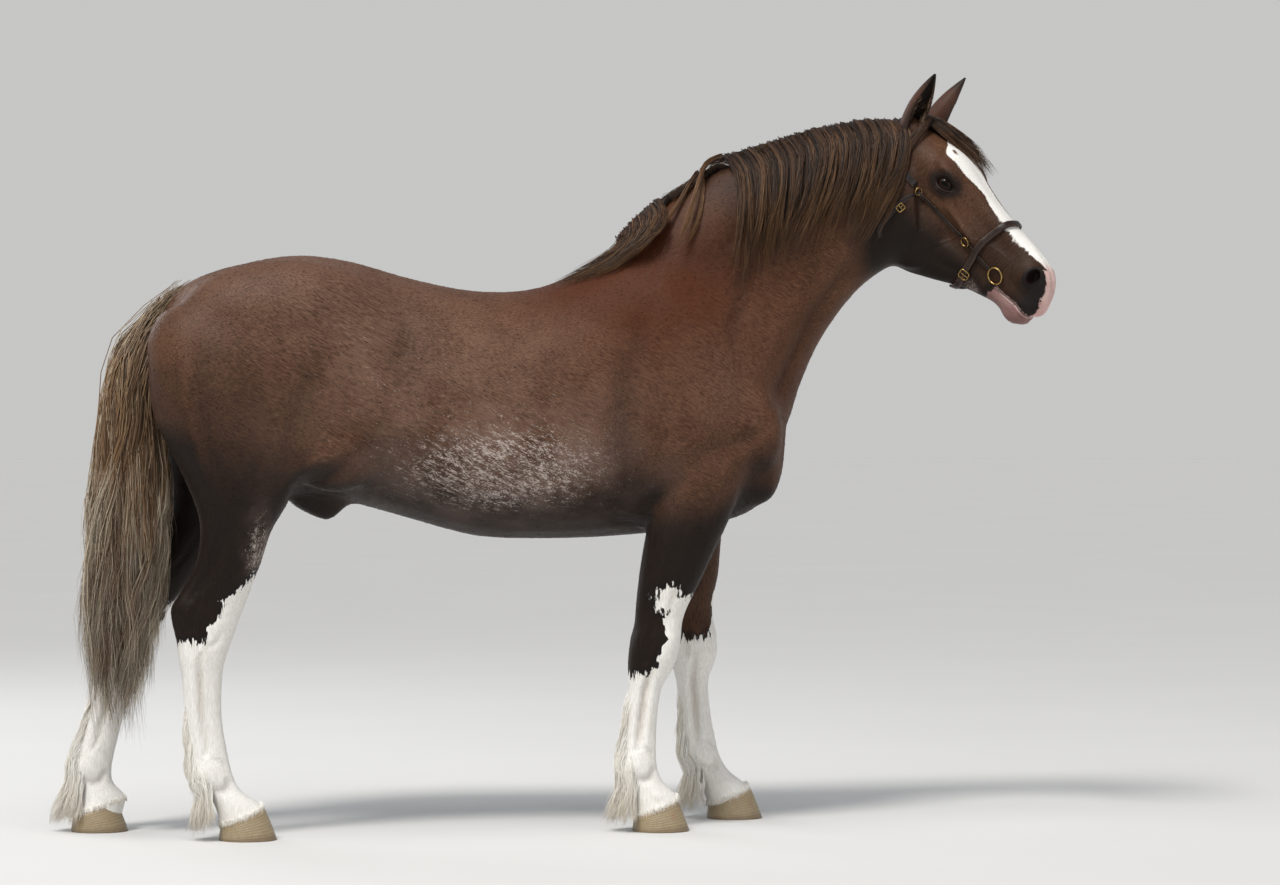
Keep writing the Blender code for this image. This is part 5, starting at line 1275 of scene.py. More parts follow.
def hair_material(name, root, middle, tip, dark, roughness, gold=0.5):
    """Long hair: a colour along its length, darker and paler strands, and a soft gloss."""
    made, tree, shader = new_material(
        name, Roughness=roughness, Specular_IOR_Level=0.30, Sheen_Weight=0.04, Sheen_Roughness=0.4
    )
    along = kept_value(tree, "hair_along")
    tone = kept_value(tree, "hair_tone")
    where = object_place(tree)
    patchy = noise(tree, where, 9.0, 3.0)
    shift = plus(tree, along, swung(tree, patchy, 0.6))
    shift = plus(tree, shift, swung(tree, tone, 0.5))
    colour = mixed(tree, stepped(tree, shift, 0.05, 0.50), root, middle)
    colour = mixed(tree, stepped(tree, shift, 0.45, 1.05), colour, tip)
    colour = mixed(tree, stepped(tree, tone, 0.62, 0.20), colour, dark)
    golden = times(tree, stepped(tree, tone, gold, 1.0), 0.8)
    feed(tree, shader, "Base Color", mixed(tree, golden, colour, tip))
    return made


mane_hair = hair_material(
    "mane_hair", linear(36, 22, 14), linear(64, 41, 26), linear(112, 80, 50), linear(25, 16, 11), 0.46, 0.78
)

# How far back a lock sweeps, how long it is and how high it stands, from withers to poll
MANE_LENGTH = 0.345
MANE_SWEEP = [
    (0.0, 1.25), (0.12, 1.10), (0.28, 0.90), (0.385, 0.10), (0.50, 0.20), (0.66, 0.36), (0.82, 0.34),
    (1.0, 0.56),
]
MANE_REACH = [
    (0.0, 0.46), (0.05, 0.58), (0.11, 0.46), (0.15, 0.34), (0.36, 0.20), (0.385, 0.98), (0.60, 0.93),
    (0.80, 0.86), (1.0, 0.90),
]
MANE_STAND = [(0.0, 0.004), (0.05, 0.008), (0.16, 0.008), (0.36, 0.014), (0.44, 0.008), (1.0, 0.006)]


def mane_lock(share, lift, draw, length_share=1.0):
    """The guide of a lock: from the crest, over it, and down and back along the side."""
    crest, half_width = crest_point(share)
    length = MANE_LENGTH * read_line(MANE_REACH, share) * length_share
    sweep = read_line(MANE_SWEEP, share) + draw.uniform(-0.09, 0.09)
    aside = min(1.0, 0.16 + share / 0.20)
    stand = read_line(MANE_STAND, share) + lift * 0.35
    back = length * sweep
    lock = [crest + Vector((0.010, 0.004, -0.012)), crest + Vector((-0.006 - stand, -0.010, stand * 0.9))]
    for away, fall in ((0.50, 0.14), (0.88, 0.38), (1.00, 0.68), (1.00, 1.0)):
        out = Vector((0.0, -(half_width * away + lift) * aside, -0.040 * aside * min(1, fall * 3)))
        lock.append(crest + out + Vector((-back * fall**1.25, 0.0, stand * (1 - fall) - length * fall)))
    return laid_out(lock, lift, 2)


draw = np.random.default_rng(11)
for name, low, high, layers, count in (
    ("mane_on_neck", 0.385, 1.0, ((64, 0.006), (50, 0.014), (34, 0.023)), 3500),
    ("mane_at_withers", 0.0, 0.15, ((26, 0.004), (20, 0.008)), 1100),
):
    guides = []
    for layer, (locks, lift) in enumerate(layers):
        for i in range(locks):
            share = low + (high - low) * min(max((i + draw.uniform(-0.6, 0.6)) / locks, 0.0), 1.0)
            guides.append(mane_lock(share, lift, draw, 1.0 + draw.uniform(-0.20, 0.06) - 0.08 * layer))
    spread = (0.0045, 0.004, 0.002)
    paths, tone = hairs_of_locks(guides, count, draw, spread, 0.0050, (0.66, 1.0), 0.006)
    mane = strands(name, off_the_hide(paths, 0.0022), (0.0016, 0.0030), tone, draw, mane_hair)
    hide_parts("neck")

# Short dark hair stands along the crest, and three pale strands arch over the bare part of it
guides = []
for i in range(260):
    share = 0.02 + 0.97 * (i + draw.uniform(0, 1)) / 260
    crest, half_width = crest_point(share)
    stand = (read_line(MANE_STAND, share) + 0.004) * draw.uniform(0.15, 1.0)
    back = 0.030 + 0.020 * draw.random()
    if share < 0.37:
        side = -1 if i % 4 else 1
        lock = []
        for step, rise in enumerate((-0.010, 0.007, 0.002, -0.012)):
            place, _ = crest_point(max(share - 0.034 * step, 0.0))
            lock.append(place + Vector((0.0, side * (0.003 + 0.015 * step * draw.uniform(0.5, 1.2)), rise)))
        guides.append(laid_out(lock, 0.003 + 0.007 * draw.random(), 1))
        continue
    guides.append([
        crest + Vector((0.014, draw.uniform(-0.006, 0.008), -0.012)),
        crest + Vector((-back * 0.5, -0.004, stand * 0.7)),
        crest + Vector((-back * 1.4, -0.014, stand * 0.8 - back * 0.3)),
        crest + Vector((-back * 2.2, -0.034, stand * 0.3 - 0.014 - back * 0.7)),
    ])
CREST_HAIRS = 2300
paths, tone = hairs_of_locks(guides, CREST_HAIRS, draw, (0.003, 0.006, 0.002), 0.003, (0.6, 1.0), 0.002, 7)
paths = off_the_hide(paths, 0.0015)
crest_hair = strands("mane_on_crest", paths, (0.0014, 0.0026), tone * 0.6 + 0.06, draw, mane_hair)
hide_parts("neck")

ARCHED_STRANDS = [
    ([(0.462, 1.744), (0.418, 1.724), (0.390, 1.684), (0.362, 1.612), (0.334, 1.544), (0.292, 1.484)], 90),
    ([(0.440, 1.728), (0.402, 1.704), (0.396, 1.632), (0.374, 1.562), (0.330, 1.506)], 80),
    ([(0.400, 1.700), (0.372, 1.674), (0.330, 1.610), (0.282, 1.556), (0.236, 1.520)], 60),
]
for n, (line, count) in enumerate(ARCHED_STRANDS):
    guides = []
    for i in range(6):
        lock = []
        for k, (x, z) in enumerate(line):
            lock.append(Vector((x + draw.uniform(-0.002, 0.002), -0.004 - 0.034 * k, z)))
        guides.append(laid_out(lock, 0.006, 1))
    paths, tone = hairs_of_locks(guides, count, draw, (0.003, 0.002, 0.002), 0.0030, (0.80, 1.0), 0.003, 12)
    paths = off_the_hide(paths, 0.003)
    arched = strands(f"arched_strand_{n + 1}", paths, (0.0016, 0.0026), 0.72 + 0.28 * tone, draw, mane_hair)
    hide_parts("neck")

# ---------------------------------------------------------------------------
# The forelock: mane hair from between the ears, swept over the brow to the left side, and
# shorter locks of it that fall in front of the right ear and join the mane.

draw = np.random.default_rng(5)
guides = []
for i in range(46):
    spread = draw.uniform(-0.5, 0.5)
    length = 0.20 + draw.uniform(-0.06, 0.02) - 0.03 * abs(spread)
    reach = 0.036 + spread * 0.070
    lift = draw.uniform(0.0, 1.0)
    lock = [
        on_head(-0.012, -0.004, spread * 0.060), on_head(0.004, 0.022 + 0.010 * lift, 0.004 + spread * 0.064),
        on_head(0.012 + length * 0.33, 0.040 + 0.016 * lift, 0.012 + spread * 0.074),
        on_head(0.012 + length * 0.68, 0.046 + 0.014 * lift, reach * 0.95 + 0.006),
        on_head(0.012 + length, 0.048 + 0.008 * lift, reach * 1.15 + 0.016),
    ]
    guides.append(laid_out(lock, 0.003 + 0.006 * lift, 1))
FORELOCK_HAIRS = 1300
paths, tone = hairs_of_locks(guides, FORELOCK_HAIRS, draw, (0.005, 0.005, 0.002), 0.005, (0.62, 1.0), 0.004)
forelock = strands("forelock", off_the_hide(paths, 0.002), (0.0013, 0.0025), tone * 0.85, draw, mane_hair)
guides = []
for i in range(26):
    spread = draw.uniform(-0.5, 0.5)
    fall = draw.uniform(0.7, 1.0)
    lock = [
        on_head(-0.006, 0.010, -0.006), on_head(0.006, 0.034, -0.022 + spread * 0.012),
        on_head(0.030 + spread * 0.012, 0.022, -0.062), on_head(0.050 + spread * 0.020, -0.030, -0.090),
        on_head(0.062 + spread * 0.022, -0.030 - 0.070 * fall, -0.096),
        on_head(0.070 + spread * 0.020, -0.030 - 0.140 * fall, -0.092),
    ]
    guides.append(laid_out(lock, 0.004 + draw.uniform(0, 0.008), 1))
SIDE_HAIRS = 700
paths, tone = hairs_of_locks(guides, SIDE_HAIRS, draw, (0.004, 0.003, 0.003), 0.005, (0.62, 1.0), 0.004)
side_locks = strands("side_locks", off_the_hide(paths, 0.002), (0.0013, 0.0025), tone, draw, mane_hair)
for piece in (forelock, side_locks):
    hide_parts("head")

# ---------------------------------------------------------------------------
# The tail: a short dock under a full skirt of flaxen hair with brown streaks, gathered at
# the top, fullest at the hocks and thinned out above the fetlocks.

# The tail's middle line: x, y, z, half its depth along the body and half its width
TAIL_LINE = [
    (-0.900, 0.000, 1.400, 0.030, 0.030),
    (-0.965, 0.000, 1.372, 0.032, 0.036),
    (-1.030, 0.000, 1.290, 0.050, 0.062),
    (-1.066, 0.000, 1.160, 0.072, 0.080),
    (-1.074, -0.004, 1.000, 0.084, 0.088),
    (-1.082, -0.010, 0.820, 0.098, 0.090),
    (-1.094, -0.014, 0.640, 0.104, 0.090),
    (-1.108, -0.018, 0.480, 0.098, 0.084),
    (-1.112, -0.020, 0.360, 0.084, 0.072),
    (-1.118, -0.020, 0.270, 0.060, 0.052),
]


def tail_section(height):
    """The middle of the tail at a height, half its depth and half its width."""
    values = [float(at_height([(row[2], row[n]) for row in TAIL_LINE], height)) for n in (0, 1, 3, 4)]
    return Vector((values[0], values[1], height)), values[2], values[3]


tail_hair = hair_material(
    "tail_hair", linear(132, 113, 90), linear(130, 98, 66), linear(190, 178, 158), linear(84, 63, 46),
    0.50, 0.60
)
draw = np.random.default_rng(23)
for name, rows, count in (
    ("tail_from_top", [(1.375, 14, 0.46, 0.97), (1.335, 20, 0.38, 0.96), (1.235, 22, 0.33, 0.90)], 3500),
    ("tail_under", [(1.120, 20, 0.30, 0.82), (0.980, 20, 0.26, 0.72), (0.85, 16, 0.25, 0.55)], 2600),
):
    guides = []
    for start, locks, end, fullness in rows:
        for i in range(locks):
            turn = 2 * math.pi * (i + draw.uniform(-0.4, 0.4)) / locks
            high = start + draw.uniform(-0.04, 0.02)
            low = end + draw.uniform(-0.03, 0.12)
            sway = 0.20 + draw.uniform(-0.30, 0.30)
            full = fullness * draw.uniform(0.86, 1.0)
            lock = []
            for step in range(9):
                share = step / 8
                height = high + (low - high) * share
                middle, depth, width = tail_section(height)
                reach = (0.30, 0.80)[step] if step < 2 else full
                swing = turn + sway * share + 0.22 * math.sin(share * 8 + i * 1.3)
                lock.append(middle + Vector((math.cos(swing) * depth, math.sin(swing) * width, 0.0)) * reach)
            guides.append(lock)
    paths, tone = hairs_of_locks(
        guides, count, draw, (0.011, 0.010, 0.010), 0.011, (0.66, 1.0), 0.016, 10, 1.1, 15.0
    )
    paths = off_the_hide(paths, 0.002, 2)
    middle, depth = (at_height([(row[2], row[n]) for row in TAIL_LINE], paths[:, 5, 2]) for n in (0, 3))
    edge = np.abs(paths[:, 5, 0] - middle) / depth
    tone = np.clip(tone * 0.9 + 0.16 * eased((edge - 0.45) / 0.4), 0, 1)
    tail = strands(name, paths, (0.0018, 0.0036), tone, draw, tail_hair)
    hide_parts("tail")
dock = bmesh.new()
rows = []
for height in (1.372, 1.30, 1.20, 1.08, 0.96, 0.88, 0.85):
    middle, depth, width = tail_section(height)
    thin = 0.55 if height > 1.0 else 0.45
    half = Vector((depth * thin, 0, 0))
    rows.append((*(middle + half), *(middle - half), width * thin, 0, 1))
tube(dock, rows, 16, 3)
dock = finished(dock, "dock")
corners = np.ones(len(dock.data.vertices))
write_values(dock.data, {"hair_along": corners * 0.3, "hair_tone": corners * 0.2})
placed(dock, tail_hair)
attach(dock, "root")
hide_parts("tail")

# ---------------------------------------------------------------------------
# The feather: long silky cream hair that grows behind the cannons and round the fetlocks
# and falls over the heels.

feather_hair = hair_material(
    "feather_hair", linear(248, 247, 243), linear(247, 244, 237), linear(240, 231, 214),
    linear(238, 232, 221), 0.55, 0.88
)
# Where it grows: height, how many locks, how far it stands off, how far round, and how long.
# Then how many hairs it has on a leg, how many fall over the hoof, and how far it stands off
# on each leg against the others
FEATHER_ROWS = [
    (0.31, 6, 0.004, 0.22, 0.13), (0.250, 9, 0.024, 0.34, 0.17), (0.200, 12, 0.058, 0.50, 0.20),
    (0.165, 13, 0.078, 0.62, 0.18), (0.130, 11, 0.060, 0.70, 0.13),
]
FEATHER_HAIRS = 2700
FRINGE_HAIRS = 700
FEATHER_SWEEP = {"front_right": 1.0, "front_left": 0.85, "hind_right": 0.62, "hind_left": 1.15}
for end in ("front", "hind"):
    for word, side in (("right", -1), ("left", 1)):
        draw = np.random.default_rng(40 + (side > 0) + 2 * (end == "hind"))
        stations, _, spread_table, _ = limb_tables(end)
        heel = limb_axis(end, side, 0.13) - at_height([(row[0], row[2]) for row in stations], 0.15)
        guides = []
        for start, count, back, reach, length in FEATHER_ROWS:
            for i in range(count):
                turn = math.radians(88) * reach * (2 * (i + draw.uniform(0.1, 0.9)) / count - 1)
                high = start + draw.uniform(-0.02, 0.02)
                low = max(0.010 + 0.012 * draw.random(), high - length * draw.uniform(0.85, 1.1))
                lock = []
                for step in range(6):
                    share = step / 5
                    height = high + (low - high) * share
                    level = max(height, 0.13)
                    behind, half = (at_height([(row[0], row[n]) for row in stations], level) for n in (2, 3))
                    x = limb_axis(end, side, level) - behind
                    if height < 0.13:
                        x = heel + (0.13 - height) * 0.10
                    y = side * at_height(spread_table, level)
                    sweep = back * FEATHER_SWEEP[f"{end}_{word}"]
                    rest = 0.001 + sweep * share**1.4 * (1.0 - 0.45 * abs(turn))
                    out = Vector((-math.cos(turn), math.sin(turn), 0.0))
                    around = Vector((behind * (1 - math.cos(turn)), half * 0.94 * math.sin(turn), 0.0))
                    lock.append(Vector((x, y, height)) + around + out * (rest if step else -0.009))
                guides.append(lock)
        paths, tone = hairs_of_locks(
            guides, FEATHER_HAIRS, draw, (0.0025, 0.0055, 0.016), 0.0042, (0.56, 1.0), 0.0060, 6, 1.0
        )
        paths = off_the_hide(paths, 0.0012)

        # Short white hair falls from the coronet over the top of the hoof
        fringe = []
        for i in range(110):
            turn = 2 * math.pi * (i + draw.random()) / 110
            hoof_x, y = HOOF_PLACES[f"{end}_{word}"]
            out = Vector((math.cos(turn) * 0.056, math.sin(turn) * 0.056, 0.0))
            top = CORONET_HEIGHT + out.x * math.tan(CORONET_SLOPE)
            steep = 0.37 * math.cos(turn) if math.cos(turn) > 0 else 0.12 * math.cos(turn)
            wall = Vector((steep, 0.22 * math.sin(turn), -1.0)).normalized()
            rim, normal, _, _ = hide_tree.ray_cast(Vector((hoof_x, y, top + 0.004)) + out * 3, -out, 0.4)
            if rim is None:
                continue
            out = out.normalized()
            hang = draw.uniform(0.008, 0.020)
            start = rim + Vector((0, 0, 0.006)) - out * 0.002
            middle = rim + out * 0.0005 + wall * hang * 0.5
            fringe.append([start, rim + out * 0.0010, middle, rim + wall * hang])
        short, short_tone = hairs_of_locks(
            fringe, FRINGE_HAIRS, draw, (0.002, 0.002, 0.002), 0.0015, (0.6, 1.0), 0.0006, 6, 1.0
        )
        paths = np.concatenate([paths, short])
        tone = np.concatenate([tone, short_tone])
        paths[:, :, 2] = np.maximum(paths[:, :, 2], 0.004)
        feather = strands(f"feather_{end}_{word}", paths, (0.0009, 0.0019), tone, draw, feather_hair)
        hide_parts(f"cannon_{end}_{word}")

# ---------------------------------------------------------------------------
# The ears: thin pricked cups of gristle under short hair, open forwards and outwards, the
# tips curved in. Pale hair lines the edges and fills the inside.

# An ear's sections from its root to its tip: how far up, share of the full width, depth of the cup
EAR_PROFILE = [
    (0.00, 0.92, 0.95), (0.22, 1.06, 0.75), (0.45, 1.02, 0.62), (0.66, 0.78, 0.56), (0.84, 0.44, 0.50),
    (0.97, 0.12, 0.45),
]
EAR_ROOT = (0.012, -0.030, 0.060)
EAR_REACH = (0.094, 0.156, 0.030)
EARS_ASIDE = 0.006
EAR_WIDTH = 0.058
EAR_WALL = 0.0040

ear_coat, tree, shader = new_material(
    "ear_coat", Specular_IOR_Level=0.2, Sheen_Weight=0.05, Sheen_Roughness=0.5
)
where = object_place(tree)
lie = {"Vector": where, "Rotation": (0, math.radians(30), 0), "Scale": (420, 420, 45)}
drawn = node(tree, "ShaderNodeMapping", lie).outputs[0]
streak = noise(tree, drawn, 1.0, 3.0)
inside = kept_value(tree, "ear_inside")
up_ear = kept_value(tree, "ear_share")
colour = mixed(tree, streak, linear(44, 27, 19), linear(84, 53, 38))
colour = mixed(tree, stepped(tree, up_ear, 0.62, 0.95), colour, linear(24, 16, 12))
colour = mixed(tree, inside, colour, mixed(tree, streak, linear(16, 12, 10), linear(44, 32, 27)))
colour = mixed(tree, times(tree, kept_value(tree, "ear_edge"), 0.75), colour, linear(30, 20, 15))
feed(tree, shader, "Base Color", colour)
feed(tree, shader, "Roughness", plus(tree, 0.42, times(tree, streak, 0.3)))
bumped(tree, shader, streak, 0.5, 0.0012)

ear_hair = hair_material(
    "ear_hair", linear(70, 48, 36), linear(120, 90, 68), linear(168, 140, 112), linear(40, 28, 22), 0.5, 0.6
)
for word, side in (("right", -1), ("left", 1)):
    root = on_head(EAR_ROOT[0], EAR_ROOT[1], side * EAR_ROOT[2] + EARS_ASIDE)
    tip = root + HEAD_FORWARD * EAR_REACH[0] + UP * EAR_REACH[1]
    tip += LEFT_OF_FACE * (side * EAR_REACH[2] + EARS_ASIDE)
    axis = (tip - root).normalized()
    facing = (HEAD_FORWARD * 0.75 + LEFT_OF_FACE * side * 0.66 - UP * 0.1).normalized()
    facing = (facing - axis * facing.dot(axis)).normalized()
    across = axis.cross(facing)
    profile = smooth_rows(EAR_PROFILE, 5)


    def on_ear(share, turn_share, sink=0.0):
        """A point on the cup of the ear: up it from 0 to 1 and round it from edge to edge."""
        width = np.interp(share, profile[:, 0], profile[:, 1])
        depth = np.interp(share, profile[:, 0], profile[:, 2])
        half = EAR_WIDTH / 2 * width - sink
        centre = root + (tip - root) * share - facing * 0.006 * math.sin(math.pi * share)
        opening = math.radians(34 + 14 * math.sin(math.pi * min(share * 1.2, 1.0)))
        turn = opening + (2 * math.pi - 2 * opening) * turn_share
        return centre + (facing * math.cos(turn) * depth * 1.5 + across * math.sin(turn)) * half


    shape = bmesh.new()
    bmesh.ops.create_grid(shape, x_segments=30, y_segments=26, size=0.5)
    stations = {}
    for vert in shape.verts:
        stations[vert.index] = (0.97 * (vert.co.y + 0.5), vert.co.x + 0.5)
    for vert in shape.verts:
        vert.co = on_ear(*stations[vert.index], 0.0004)
    bmesh.ops.recalc_face_normals(shape, faces=shape.faces)
    middle = sum((face.normal.dot(face.calc_center_median() - (root + tip) / 2) for face in shape.faces))
    if middle < 0:
        bmesh.ops.reverse_faces(shape, faces=shape.faces)
    bmesh.ops.solidify(shape, geom=shape.faces[:], thickness=EAR_WALL * 0.8)
    ear = finished(shape, f"ear_cup_{word}")
    spots = read_points(ear.data)
    share = np.clip((spots - np.array(root)) @ np.array(axis) / (tip - root).length, 0, 1)
    middle_line = np.array(root) + share[:, None] * np.array(tip - root)
    outer = np.linalg.norm(spots - middle_line, axis=1)
    front = (spots - middle_line) @ np.array(facing)
    ways = read_points(ear.data, "normal")
    inward = np.einsum("ij,ij->i", ways, middle_line - spots) / np.maximum(outer, 1e-6)
    write_values(ear.data, {
        "ear_share": share, "ear_inside": eased((inward + 0.1) / 0.4),
        "ear_edge": eased((front - 0.004) / 0.008),
    })
    placed(ear, ear_coat)
    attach(ear, "root")
    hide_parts(f"ear_{word}")

    # Fine hair inside the cup and along its edges, thinner towards the tip
    draw = np.random.default_rng(60 + (side > 0))
    guides = []
    for i in range(90):
        rise = draw.uniform(0.02, 0.62)
        round_share = draw.choice([draw.uniform(0.0, 0.22), draw.uniform(0.78, 1.0), draw.uniform(0.2, 0.8)])
        start = on_ear(rise, round_share, EAR_WALL * 0.9)
        length = 0.030 * (1.2 - rise)
        centre = root + (tip - root) * rise
        lean = ((centre - start).normalized() * 0.55 + axis * 0.95 + facing * 0.35).normalized()
        guides.append([start, start + lean * length * 0.5, start + (lean + axis * 0.4).normalized() * length])
    paths, tone = hairs_of_locks(guides, 420, draw, (0.003, 0.003, 0.003), 0.0022, (0.6, 1.0), 0.001, 5)
    inner_hair = strands(f"ear_hair_{word}", paths, (0.0005, 0.0010), tone, draw, ear_hair)
    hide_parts(f"ear_{word}")

# ---------------------------------------------------------------------------
# The eyes: dark brown and wet, with a level slot of a pupil, between lids with dark rims.
# Long lashes stand out of the upper lid.

eye_gloss, tree, shader = new_material(
    "wet_eye", Roughness=0.14, Specular_IOR_Level=0.08, Coat_Weight=0.12, Coat_Roughness=0.03, IOR=1.38
)
iris = kept_value(tree, "from_iris")
pupil = kept_value(tree, "from_pupil")
where = object_place(tree)
fibres = noise(tree, where, 700.0, 2.0)
colour = mixed(tree, fibres, linear(14, 8, 5), linear(34, 19, 10))
colour = mixed(tree, stepped(tree, iris, 0.80, 1.0), colour, linear(11, 8, 7))
colour = mixed(tree, stepped(tree, iris, 1.02, 1.25), colour, linear(40, 29, 26))
colour = mixed(tree, stepped(tree, pupil, 1.06, 0.94), colour, linear(3, 4, 6))
feed(tree, shader, "Base Color", colour)

rim_skin, tree, shader = new_material("lid_skin", Specular_IOR_Level=0.3)
where = object_place(tree)
crease = noise(tree, where, 420.0, 3.0)
paler = kept_value(tree, "lower_lid")
colour = mixed(tree, crease, linear(10, 9, 9), linear(26, 22, 21))
colour = mixed(tree, times(tree, paler, 0.35), colour, linear(74, 60, 54))
feed(tree, shader, "Base Color", colour)
feed(tree, shader, "Roughness", plus(tree, 0.30, times(tree, crease, 0.2)))
bumped(tree, shader, crease, 0.4, 0.0006)


def wire(shape, path, radii, sides=10, closed=False, facing=None):
    """A round bar along a path, its radius read at each point."""
    rows = []
    count = len(path)
    for i, point in enumerate(path):
        before = path[i - 1] if closed or i else path[0]
        after = path[(i + 1) % count] if closed or i < count - 1 else path[-1]
        ahead = (after - before).normalized()
        out = facing[i] if facing else UP
        out = (out - ahead * out.dot(ahead)).normalized() * radii[i]
        rows.append((*(point + out), *(point - out), radii[i], 0.0, 1.0))
    tube(shape, rows, sides, 1, closed)


for word, side in (("right", -1), ("left", 1)):
    centre = sided(EYE_PLACE, side)
    outward, lengthways, crossways = eye_axes(side)
    axes = Matrix((lengthways, crossways, outward)).transposed()
    shape = bmesh.new()
    place = Matrix.Translation(centre) @ axes.to_4x4()
    bmesh.ops.create_uvsphere(shape, u_segments=56, v_segments=40, radius=EYE_RADIUS * 0.985, matrix=place)
    eye = finished(shape, f"eyeball_{word}")
    way = unit(read_points(eye.data) - np.array(centre)) @ np.array(axes)
    round_iris = np.arccos(np.clip(way[:, 2], -1, 1))
    write_values(eye.data, {
        "from_iris": round_iris / 0.86,
        "from_pupil": np.where(way[:, 2] > 0, np.hypot(way[:, 0] / 0.36, way[:, 1] / 0.17), 9.0),
    })
    placed(eye, eye_gloss)
    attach(eye, "root")
    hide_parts(f"eye_{word}")

    # The rim follows the almond of the opening, thicker above, with a fold of skin over it
    lids = bmesh.new()
    for lift, size, grow in ((0.0009, 0.0017, 1.00), (0.0030, 0.0017, 1.30)):
        path, radii, facing = [], [], []
        for k in range(44):
            turn = 2 * math.pi * k / 44
            height = math.copysign(abs(math.sin(turn)) ** 1.25, math.sin(turn)) * LID_HALF_HEIGHT
            upper = max(math.sin(turn), 0.0)
            spot_out = lengthways * math.cos(turn) * LID_HALF_LENGTH * (1 + (grow - 1) * 0.55)
            spot_out += crossways * height * grow
            depth = math.sqrt(max(EYE_RADIUS**2 - spot_out.length_squared, 0.0))
            reach = (spot_out + outward * depth).normalized() * (EYE_RADIUS + lift)
            path.append(centre + reach)
            radii.append(size * (0.75 + 0.45 * upper) * (1.0 if grow == 1.0 else 0.35 + 0.75 * upper))
            facing.append(reach.normalized())
        wire(lids, path, radii, 10, True, facing)
    lids = finished(lids, f"eyelids_{word}")
    spots = read_points(lids.data) - np.array(centre)
    write_values(lids.data, {"lower_lid": eased(-(spots @ np.array(crossways)) / 0.008)})
    placed(lids, rim_skin)
    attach(lids, "root")
    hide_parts("head")

    draw = np.random.default_rng(70 + (side > 0))
    guides = []
    for i in range(36):
        turn = math.radians(18 + 144 * (i + draw.uniform(0, 1)) / 36)
        height = math.sin(turn) ** 1.25 * LID_HALF_HEIGHT
        spot_out = lengthways * math.cos(turn) * LID_HALF_LENGTH + crossways * height
        depth = math.sqrt(max(EYE_RADIUS**2 - spot_out.length_squared, 0.0))
        reach = (spot_out + outward * depth).normalized()
        start = centre + reach * (EYE_RADIUS + 0.0012)
        away = (outward * 0.9 + crossways * 0.10 + lengthways * 0.35 * math.cos(turn)).normalized()
        length = 0.016 * (0.6 + 0.4 * math.sin(turn))
        curl = (away - crossways * 0.35).normalized()
        guides.append([start, start + away * length * 0.5, start + curl * length])
    paths, tone = hairs_of_locks(guides, 70, draw, (0.0008,) * 3, 0.001, (0.7, 1.0), 0.0004, 5)
    lashes = strands(f"lashes_{word}", paths, 0.0006, tone * 0.2, draw, mane_hair)
    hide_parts("head")

# ---------------------------------------------------------------------------
# The hooves: pale horn, grown down in fine rings from the coronet and rasped flat below,
# with a darker worn edge at the floor.

# A hoof: how high up the wall, the reach in front and behind, and the half width
HOOF_WALL = [(0.00, 0.082, 0.066, 0.070), (0.50, 0.066, 0.064, 0.064), (1.00, 0.050, 0.061, 0.056)]

horn, tree, shader = new_material("hoof_horn", Specular_IOR_Level=0.4, Coat_Weight=0.08, Coat_Roughness=0.3)
where = object_place(tree)
grown = kept_value(tree, "up_the_wall")
tubules = node(tree, "ShaderNodeMapping", {"Vector": where, "Scale": (380, 380, 26)}).outputs[0]
tubule = noise(tree, tubules, 1.0, 3.0)
stain = noise(tree, where, 30.0, 4.0)
wander = swung(tree, stain, 0.08)
rings_of_growth = maths(tree, "SINE", times(tree, plus(tree, grown, wander), 62.0))
colour = mixed(tree, tubule, linear(126, 110, 84), linear(174, 158, 126))
ringed = times(tree, stepped(tree, rings_of_growth, -0.2, 1.0), 0.30)
colour = mixed(tree, ringed, colour, linear(104, 86, 64))
colour = mixed(tree, times(tree, stepped(tree, stain, 0.52, 0.75), 0.45), colour, linear(146, 112, 92))
colour = mixed(tree, times(tree, stepped(tree, grown, 0.30, 0.0), 0.6), colour, linear(92, 74, 56))
colour = mixed(tree, times(tree, stepped(tree, grown, 0.86, 1.0), 0.6), colour, linear(206, 180, 160))
feed(tree, shader, "Base Color", colour)
feed(tree, shader, "Roughness", plus(tree, 0.38, times(tree, stain, 0.25)))
height = plus(tree, times(tree, rings_of_growth, 0.5), tubule)
bumped(tree, shader, height, 0.5, 0.0010)

for limb, (x, y) in HOOF_PLACES.items():
    shape = bmesh.new()
    rows = []
    for share in [0.0, 0.025] + [0.06 + 0.94 * k / 15 for k in range(16)]:
        before, behind, half = (read_line([(row[0], row[n]) for row in HOOF_WALL], share) for n in (1, 2, 3))
        tuck = 0.0016 if share == 0 else 0.0005 + 0.0003 * (1 + math.sin(share * 44.0 + x * 9))
        if share > 0.96:
            tuck += 0.002
        rise = [CORONET_HEIGHT - 0.0003 + reach * math.tan(CORONET_SLOPE) for reach in (before, -behind)]
        toe = (x + before - tuck, y, share * rise[0])
        rows.append((*toe, x - behind + tuck, y, share * rise[1], half - tuck, 0.0, 0.92))
    tube(shape, rows, 56, 1)
    for face in [face for face in shape.faces if len(face.verts) > 4]:
        bmesh.ops.poke(shape, faces=[face])
    hoof = finished(shape, f"hoof_wall_{limb}")
    spots = read_points(hoof.data)
    top = CORONET_HEIGHT + (spots[:, 0] - x) * math.tan(CORONET_SLOPE)
    write_values(hoof.data, {"up_the_wall": np.clip(spots[:, 2] / np.maximum(top, 0.01), 0, 1)})
    placed(hoof, horn)
    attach(hoof, "root")
    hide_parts(f"hoof_{limb}")

# ---------------------------------------------------------------------------
# The show headcollar: dark brown bridle leather, cut in straps with stitched edges, a
# rounded noseband, and brass rings and buckles that join them at cheek, throat and chin.

